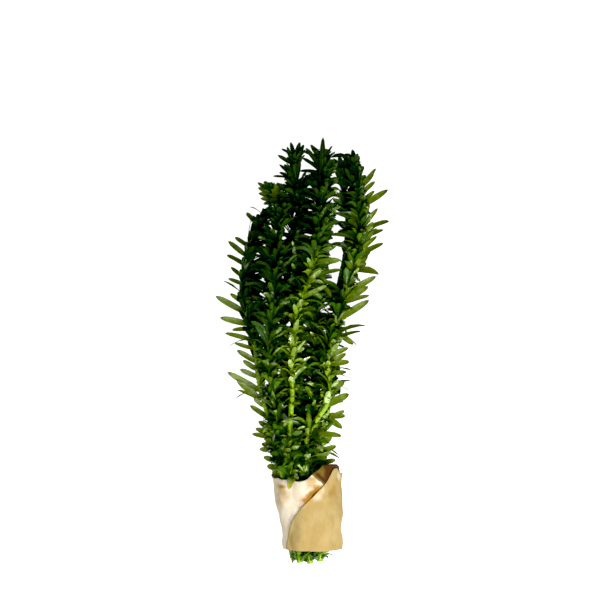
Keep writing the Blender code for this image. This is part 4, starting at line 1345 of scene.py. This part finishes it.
def crumple(angle, y):
    """How far the paper stands out or in at a place of the roll, in metres: straight creases and soft
    dents."""
    round_way = math.radians(angle) * PAPER_CREASE_RADIUS
    height = 0.0
    for lean, pitch, start, depth in PAPER_CREASES:
        lean = math.radians(lean)
        drift = noise.noise(Vector((round_way * 40, y * 40, start * 9))) * 0.35
        way = round_way * math.cos(lean) + y * math.sin(lean)
        height += depth * zigzag(way / (pitch * MM) + start + drift)
    dents = noise.noise(Vector((round_way * 70, y * 70, 4.2)))
    return (height + 0.5 * dents) * MM


def paper_point(angle, y, sizes):
    """A point of the sheet, by its angle round the roll in degrees and its place along Y."""
    centre_x, centre_z, half_width, half_height = paper_oval(y)
    parted = even_rise(angle, PAPER_LAYERS_PART_AT, PAPER_LAYERS_APART_AT)
    height = crumple(angle, y)
    if angle > 360:
        height = max(height, crumple(angle - 360, y))
    to_edge = math.radians(free_edge_angle(y) - angle) * half_width
    curl = max(1 - to_edge / PAPER_CURL_REACH, 0) ** 2 * PAPER_CURL_HEIGHT
    proud = PAPER_LAYER_STEP * parted * parted * (3 - 2 * parted) + height + curl
    turn = math.radians(angle)
    x = centre_x + (half_width + proud) * math.cos(turn)
    z = centre_z + (half_height + proud) * math.sin(turn)
    return x, y, max(z, sizes.paper_thickness / 2)


def paper_spots_and_painted_light(angle, x, y):
    """How brown the spots and painted fold shade are at a place on the front of the sheet, or how light the
    painted highlights, below zero.
    """
    if math.sin(math.radians(angle)) <= 0:
        return 0.0
    spotted = 0.0
    for row in PAPER_SPOTS_AND_PAINTED_LIGHT:
        spot = Oval(*row)
        if spot.on_outer == (angle > 360):
            across, along = spot.measured(x, y)
            spotted += spot.strength * math.exp(-across * across - along * along)
    return spotted


def paper_marks(angle, x, y):
    """What the material needs to know of a place on the sheet: whether it is on the outer layer, how deep
    the painted shadow beside the flap and the painted shade in the right corner of the rim are, and how
    strong its spots, painted fold shade and painted highlights are there."""
    outer = even_rise(angle, PAPER_OUTER_FROM, PAPER_OUTER_TO)
    beside = math.radians(angle + 360 - free_edge_angle(y)) * PAPER_MOUTH_SECTION[1] / 2
    damp = (math.exp(-(max(beside, 0) / PAPER_FLAP_SHADOW_REACH) ** 2)
            * even_rise(y - PAPER_FLAP_SHADOW_FROM, 0, PAPER_FLAP_SHADOW_FADE)
            * even_rise(PAPER_FLAP_SHADOW_TO - y, 0, PAPER_FLAP_SHADOW_FADE))
    past_border = y - smooth_through(*zip(*PAPER_CORNER_SHADE), angle)[0] * MM
    darkest = max(math.exp(-((past_border - PAPER_DARK_BAND) / PAPER_DARK_BAND_WIDTH) ** 2),
                  even_rise(PAPER_DARKEST_TO - angle, 0, PAPER_CORNER_SHADE_FADE_ANGLE))
    soaked = (even_rise(past_border, -PAPER_CORNER_SHADE_FADE, PAPER_CORNER_SHADE_FADE)
              * even_rise(PAPER_CORNER_SHADE[-1][0] - angle, 0, PAPER_CORNER_SHADE_FADE_ANGLE)
              * (0.5 + 0.5 * darkest))
    return outer, damp * (1 - outer), soaked * (1 - outer), paper_spots_and_painted_light(angle, x, y)


def paper_material(looks):
    """Kraft paper: fibrous and matt, cream on its inner layer and tan on its outer one, with brown spots,
    painted fold shade and highlights, and painted shade beside the flap and in the right corner of the rim."""
    material, board, spot = new_material("kraft_paper")
    outer, damp, soaked, spotted = (board.carried(name) for name in PAPER_MARKS)
    stretched = board.wire("ShaderNodeMapping", {}, {"Vector": spot, "Scale": (1.0, 0.15, 1.0)})
    fibre = board.noise(stretched, 1400.0, 4.0)
    cloud = board.noise(spot, 90.0, 5.0)
    blots = board.noise(spot, 320.0, 3.0) - 0.5
    grain = (fibre * 0.4 + cloud * 0.6).ramp(0.38, 0.62)

    # The two layers, each with its grain and its brown spots and painted fold shade, and painted highlights
    # on the outer one.
    blush = (grain * 0.3).most((spotted + blots * 0.5).ramp(0.1, 0.7))
    cream = board.mix(blush, looks.paper_cream, looks.paper_blush)
    cream = board.mix(spotted.ramp(0.7, 1.1), cream, looks.paper_brown)
    brown = (grain * 0.5).most((spotted + blots * 0.4).ramp(0.1, 0.9))
    tan = board.mix(brown, looks.paper_tan, looks.paper_brown)
    tan = board.mix((-spotted).ramp(0.1, 1.0), tan, looks.paper_cream)
    colour = board.mix((outer + cloud * 0.4 - 0.2).ramp(0.2, 0.8), cream, tan)

    # Painted shade: an orange painted shadow beside the flap's free edge, and olive to dark brown painted
    # shade in the right corner of the rim.
    colour = board.mix((damp + blots * 0.6).ramp(0.05, 0.75), colour, looks.painted_shadow_orange)
    colour = board.mix((soaked + blots * 0.3).ramp(0.02, 0.25), colour, looks.painted_shade_olive)
    colour = board.mix((soaked + blots * 0.4).ramp(0.6, 0.85), colour, looks.painted_shade_brown)

    # Matt, and thin enough for a little light to come through, less of it under the painted shade.
    paper = board.glossy({
        "Base Color": colour, "Roughness": 0.7 + cloud * 0.2, "Specular IOR Level": 0.15,
        "Normal": board.bumpy(0.35, 0.2 * MM, fibre)})
    thin = (1.0 - soaked.least(1.0)) * (1.0 - damp.least(1.0) * 0.6) * 0.15
    finish_material(board, board.blended(thin, paper, board.glowing(looks.paper_cream)))
    return material


def paper_sheet(sizes):
    """The sheet as a mesh without thickness, and its flat area: a grid of square patches that carries its
    marks and its own flat pattern."""
    bm = bmesh.new()
    pattern = bm.loops.layers.uv.new("sheet")
    marks = [bm.verts.layers.float.new(name) for name in PAPER_MARKS]
    grid = []
    places = {}
    for j in range(PAPER_ROWS + 1):
        up = j / PAPER_ROWS
        last_angle = free_edge_angle(PAPER_FOOT_Y + up * (PAPER_RIM[-1][1] * MM - PAPER_FOOT_Y))
        line = []
        for i in range(PAPER_COLUMNS + 1):
            angle = PAPER_INNER_EDGE_ANGLE + i / PAPER_COLUMNS * (last_angle - PAPER_INNER_EDGE_ANGLE)
            rim = smooth_through(*zip(*PAPER_RIM), angle)[0] * MM
            rim += noise.noise(Vector((angle * 0.09, 1.7, 3.1))) * PAPER_RIM_UNEVEN
            y = PAPER_FOOT_Y + up * (rim - PAPER_FOOT_Y)
            vert = bm.verts.new(paper_point(angle, y, sizes))
            for layer, value in zip(marks, paper_marks(angle, vert.co.x, y)):
                vert[layer] = value
            places[vert] = (math.radians(angle) * PAPER_MOUTH_SECTION[1] / 2, y - PAPER_FOOT_Y)
            line.append(vert)
        grid.append(line)
    for lower, upper in zip(grid, grid[1:]):
        for i in range(PAPER_COLUMNS):
            bm.faces.new((lower[i + 1], lower[i], upper[i], upper[i + 1]))
    bmesh.ops.recalc_face_normals(bm, faces=bm.faces)
    for face in bm.faces:
        for loop in face.loops:
            across, along = places[loop.vert]
            loop[pattern].uv = (across / PAPER_SHEET_LENGTH, along / PAPER_SHEET_LENGTH)
    area = sum(face.calc_area() for face in bm.faces)
    mesh = bpy.data.meshes.new("kraft_wrap")
    bm.to_mesh(mesh)
    bm.free()
    return mesh, area


def make_paper(sizes, looks):
    """The sheet of paper, rolled once round the foot and on over its own front."""
    mesh, area = paper_sheet(sizes)
    mesh.materials.append(paper_material(looks))
    sheet = added("kraft_wrap", mesh)
    wall = sheet.modifiers.new("thickness", "SOLIDIFY")
    wall.thickness = sizes.paper_thickness
    wall.offset = 0.0
    finish_piece(sheet, "paper_wrap", 40)


# Stage

# The camera looks straight down: the width that it shows at the height that it is focused on, the place
# that it is over, its distance from the surface, and its sensor's width in mm.
PHOTO_WIDTH = 0.42
FOCUS_HEIGHT = 0.02
VIEW_CENTRE = (-0.0014, 0.035)
CAMERA_DISTANCE = 1.3
SENSOR_WIDTH = 36.0
# The place that the lamps point at, and for each lamp its place and the side of its square.
LAMPS_POINT_AT = (0.01, -0.03, 0.0)
LAMPS = {
    "key": ((0.2, -0.24, 0.32), 0.14),
    "overhead": ((0.15, -0.3, 0.95), 0.42),
    "fill": ((-0.24, -0.2, 0.2), 0.14),
}
FLOOR_RADIUS = 3.0
# What the picture shows as black, so that the deep of the bunch is as dark as in the photograph.
BLACK_LEVEL = (0.012, 0.008, 0.014)
WHITE = (1.0, 1.0, 1.0, 1.0)


def make_floor(stage):
    """A pale round floor that glows a little."""
    bpy.ops.mesh.primitive_circle_add(vertices=96, radius=FLOOR_RADIUS, fill_type="NGON",
                                      location=(0, 0, 0))
    floor = bpy.context.active_object
    floor.name = "pale_floor"
    material = bpy.data.materials.new("pale_floor")
    material.use_nodes = True
    shader = material.node_tree.nodes["Principled BSDF"]
    shader.inputs["Base Color"].default_value = (*stage.floor_colour, 1.0)
    shader.inputs["Roughness"].default_value = 0.9
    shader.inputs["Emission Color"].default_value = WHITE
    shader.inputs["Emission Strength"].default_value = stage.floor_glow
    floor.data.materials.append(material)


def make_lights(stage):
    """An even sky and three square lamps."""
    world = bpy.data.worlds.new("studio")
    world.use_nodes = True
    sky = world.node_tree.nodes["Background"]
    sky.inputs["Color"].default_value = WHITE
    sky.inputs["Strength"].default_value = stage.sky_strength
    bpy.context.scene.world = world
    for name, (place, side) in LAMPS.items():
        lamp = bpy.data.lights.new(name, "AREA")
        lamp.shape = "SQUARE"
        lamp.size = side
        lamp.energy = getattr(stage, f"{name}_power")
        light = added(name, lamp)
        light.location = place
        light.rotation_euler = (Vector(place) - Vector(LAMPS_POINT_AT)).to_track_quat("Z", "Y").to_euler()


def make_camera():
    """The camera at the photograph's viewing angle, straight above the bunch."""
    data = bpy.data.cameras.new("camera")
    data.sensor_width = SENSOR_WIDTH
    data.lens = SENSOR_WIDTH * (CAMERA_DISTANCE - FOCUS_HEIGHT) / PHOTO_WIDTH
    data.clip_start = 0.01
    camera = added("camera", data)
    camera.location = (*VIEW_CENTRE, CAMERA_DISTANCE)
    scene = bpy.context.scene
    scene.camera = camera
    scene.view_settings.view_transform = "Standard"
    scene.view_settings.use_curve_mapping = True
    scene.view_settings.curve_mapping.black_level = BLACK_LEVEL


# Settings

def number_setting(name, description, default, **more):
    return FloatProperty(name=name, description=description, default=default, min=0.0, **more)


def length_setting(name, description, default):
    return number_setting(name, description, default, unit="LENGTH", precision=5)


def angle_setting(name, description, degrees):
    return number_setting(name, description, math.radians(degrees), subtype="ANGLE")


def power_setting(name, description, default):
    return number_setting(name, description, default, unit="POWER")


def colour_setting(name, description, default):
    return FloatVectorProperty(name=name, description=description, default=default, size=3, min=0.0,
                               max=1.0, subtype="COLOR")


class WaterweedSizes(bpy.types.PropertyGroup):
    """The sizes of the leaves, stems and paper."""

    leaf_length: length_setting("Leaf Length", "Length of a full-grown leaf", 0.0172)
    leaf_width: length_setting("Leaf Width", "Width of a full-grown leaf", 0.0039)
    leaf_thickness: length_setting("Leaf Thickness", "Thickness of a leaf at its middle", 0.0003)
    clearance: length_setting("Clearance", "Room kept round the open spots of the bunch", 0.0009)
    young_stretch: length_setting("Young Stretch", "Length below the tip where leaves are young", 0.045)
    stem_foot_radius: length_setting("Stem Foot Radius", "Radius of a stem at its cut end", 0.0021)
    stem_tip_radius: length_setting("Stem Tip Radius", "Radius of a stem at its tip", 0.0012)
    paper_thickness: length_setting("Paper Thickness", "Thickness of the paper", 0.00025)
    leaves_in_a_whorl: IntProperty(name="Leaves in a Whorl", description="Leaves at each joint", default=6,
                                   min=3, max=8)
    crowding: FloatProperty(name="Crowding", description="How much closer whorls stand towards the tip",
                            default=1.5, min=1.0, max=3.0)
    base_tilt: angle_setting("Base Tilt", "Angle between stem and leaf at its base", 36)
    bend: angle_setting("Bend", "How far a leaf bends back from its base to its tip", 64)
    roll: angle_setting("Roll", "How far a leaf can turn about its own length", 55)


class WaterweedLooks(bpy.types.PropertyGroup):
    """The colours of the bunch."""

    # Dark green is what the painted shade of the leaves goes down to.
    dark_green: colour_setting("Dark Green", "Leaves in the deep of the bunch", (0.004, 0.012, 0.001))
    mid_green: colour_setting("Mid Green", "Leaves in general", (0.036, 0.095, 0.006))
    light_green: colour_setting("Light Green", "Leaves that get the most light", (0.19, 0.27, 0.018))
    glow_green: colour_setting("Glow Green", "Light that comes through a leaf", (0.14, 0.2, 0.013))
    # Olive is partly the single leaves' own colour and partly painted light coming through from behind.
    olive_green: colour_setting("Olive Green", "The leaves that stand out singly", (0.235, 0.32, 0.018))
    tip_brown: colour_setting("Tip Brown", "Tips and worn spots of those leaves", (0.05, 0.052, 0.004))
    tip_yellow: colour_setting("Tip Yellow", "Tip of the leaf over the paper", (0.75, 0.65, 0.08))
    # The colour of the painted highlights on the leaves.
    painted_highlight_grey: colour_setting("Film Grey", "Pale wet patches on the leaves", (0.50, 0.63, 0.28))
    stem_green: colour_setting("Stem Green", "Bare stems and midribs", (0.16, 0.26, 0.002))
    pith_green: colour_setting("Pith Green", "The spongy inside of a cut stem", (0.36, 0.42, 0.16))
    paper_cream: colour_setting("Paper Cream", "The lightest parts of the paper", (0.48, 0.43, 0.34))
    paper_blush: colour_setting("Paper Blush", "The inner layer where it is darker", (0.32, 0.22, 0.10))
    paper_tan: colour_setting("Paper Tan", "The outer layer of the paper", (0.27, 0.2, 0.082))
    # Paper brown is also the colour of the painted fold shade.
    paper_brown: colour_setting("Paper Brown", "Spots of the outer layer", (0.21, 0.13, 0.03))
    # The colour of the painted shadow beside the flap's free edge.
    painted_shadow_orange: colour_setting("Stain Orange", "Paper that is a little damp", (0.19, 0.082, 0.008))
    # The colours of the painted shade in the right corner of the rim.
    painted_shade_olive: colour_setting("Stain Olive", "Paper that is damp at the rim", (0.088, 0.056, 0.006))
    painted_shade_brown: colour_setting("Stain Brown", "Paper that is soaked", (0.035, 0.010, 0.001))


class WaterweedStage(bpy.types.PropertyGroup):
    """The floor and the lights."""

    floor_colour: colour_setting("Floor Colour", "Colour of the floor", (0.25, 0.25, 0.25))
    floor_glow: number_setting("Floor Glow", "Light that the floor gives off", 1.0)
    sky_strength: number_setting("Sky Strength", "Light from all round", 0.17)
    key_power: power_setting("Key Power", "Power of the main lamp", 3.3)
    overhead_power: power_setting("Overhead Power", "Power of the large lamp high above", 7.6)
    fill_power: power_setting("Fill Power", "Power of the weak lamp on the left", 0.7)


# Operators and panel

class WATERWEED_OT_stage(bpy.types.Operator):
    """Make the floor, the lights and the camera"""

    bl_idname = "waterweed.stage"
    bl_label = "Make Stage"

    def execute(self, context):
        make_floor(context.scene.waterweed_stage)
        make_lights(context.scene.waterweed_stage)
        make_camera()
        return {"FINISHED"}


class WATERWEED_OT_paper(bpy.types.Operator):
    """Make the sheet of kraft paper round the foot of the bunch"""

    bl_idname = "waterweed.paper"
    bl_label = "Make Paper"

    def execute(self, context):
        make_paper(context.scene.waterweed_sizes, context.scene.waterweed_looks)
        return {"FINISHED"}


class WATERWEED_OT_stems(bpy.types.Operator):
    """Make the stem of every shoot"""

    bl_idname = "waterweed.stems"
    bl_label = "Make Stems"

    def execute(self, context):
        make_stems(context.scene.waterweed_sizes, context.scene.waterweed_looks)
        return {"FINISHED"}


class WATERWEED_OT_leaves(bpy.types.Operator):
    """Make the whorls of leaves of every shoot"""

    bl_idname = "waterweed.leaves"
    bl_label = "Make Leaves"

    def execute(self, context):
        make_leaves(context.scene.waterweed_sizes, context.scene.waterweed_looks)
        return {"FINISHED"}


class WATERWEED_PT_panel(bpy.types.Panel):
    """The settings of the bunch, and a button for each group of pieces"""

    bl_idname = "WATERWEED_PT_panel"
    bl_label = "Waterweed"
    bl_space_type = "VIEW_3D"
    bl_region_type = "UI"
    bl_category = "Waterweed"

    def draw(self, context):
        for group in (context.scene.waterweed_sizes, context.scene.waterweed_looks,
                      context.scene.waterweed_stage):
            box = self.layout.box()
            for key in group.bl_rna.properties.keys():
                if key not in ("rna_type", "name"):
                    box.prop(group, key)
        for step in ("stage", "paper", "stems", "leaves"):
            self.layout.operator(f"waterweed.{step}")


CLASSES = (
    WaterweedSizes, WaterweedLooks, WaterweedStage, WATERWEED_OT_stage, WATERWEED_OT_paper,
    WATERWEED_OT_stems, WATERWEED_OT_leaves, WATERWEED_PT_panel,
)


def register():
    for made in CLASSES:
        bpy.utils.register_class(made)
    bpy.types.Scene.waterweed_sizes = PointerProperty(type=WaterweedSizes)
    bpy.types.Scene.waterweed_looks = PointerProperty(type=WaterweedLooks)
    bpy.types.Scene.waterweed_stage = PointerProperty(type=WaterweedStage)


def unregister():
    del bpy.types.Scene.waterweed_stage
    del bpy.types.Scene.waterweed_looks
    del bpy.types.Scene.waterweed_sizes
    for made in reversed(CLASSES):
        bpy.utils.unregister_class(made)


def main():
    register()
    bpy.ops.waterweed.stage()
    bpy.ops.waterweed.paper()
    bpy.ops.waterweed.stems()
    bpy.ops.waterweed.leaves()


if __name__ == "__main__":
    main()
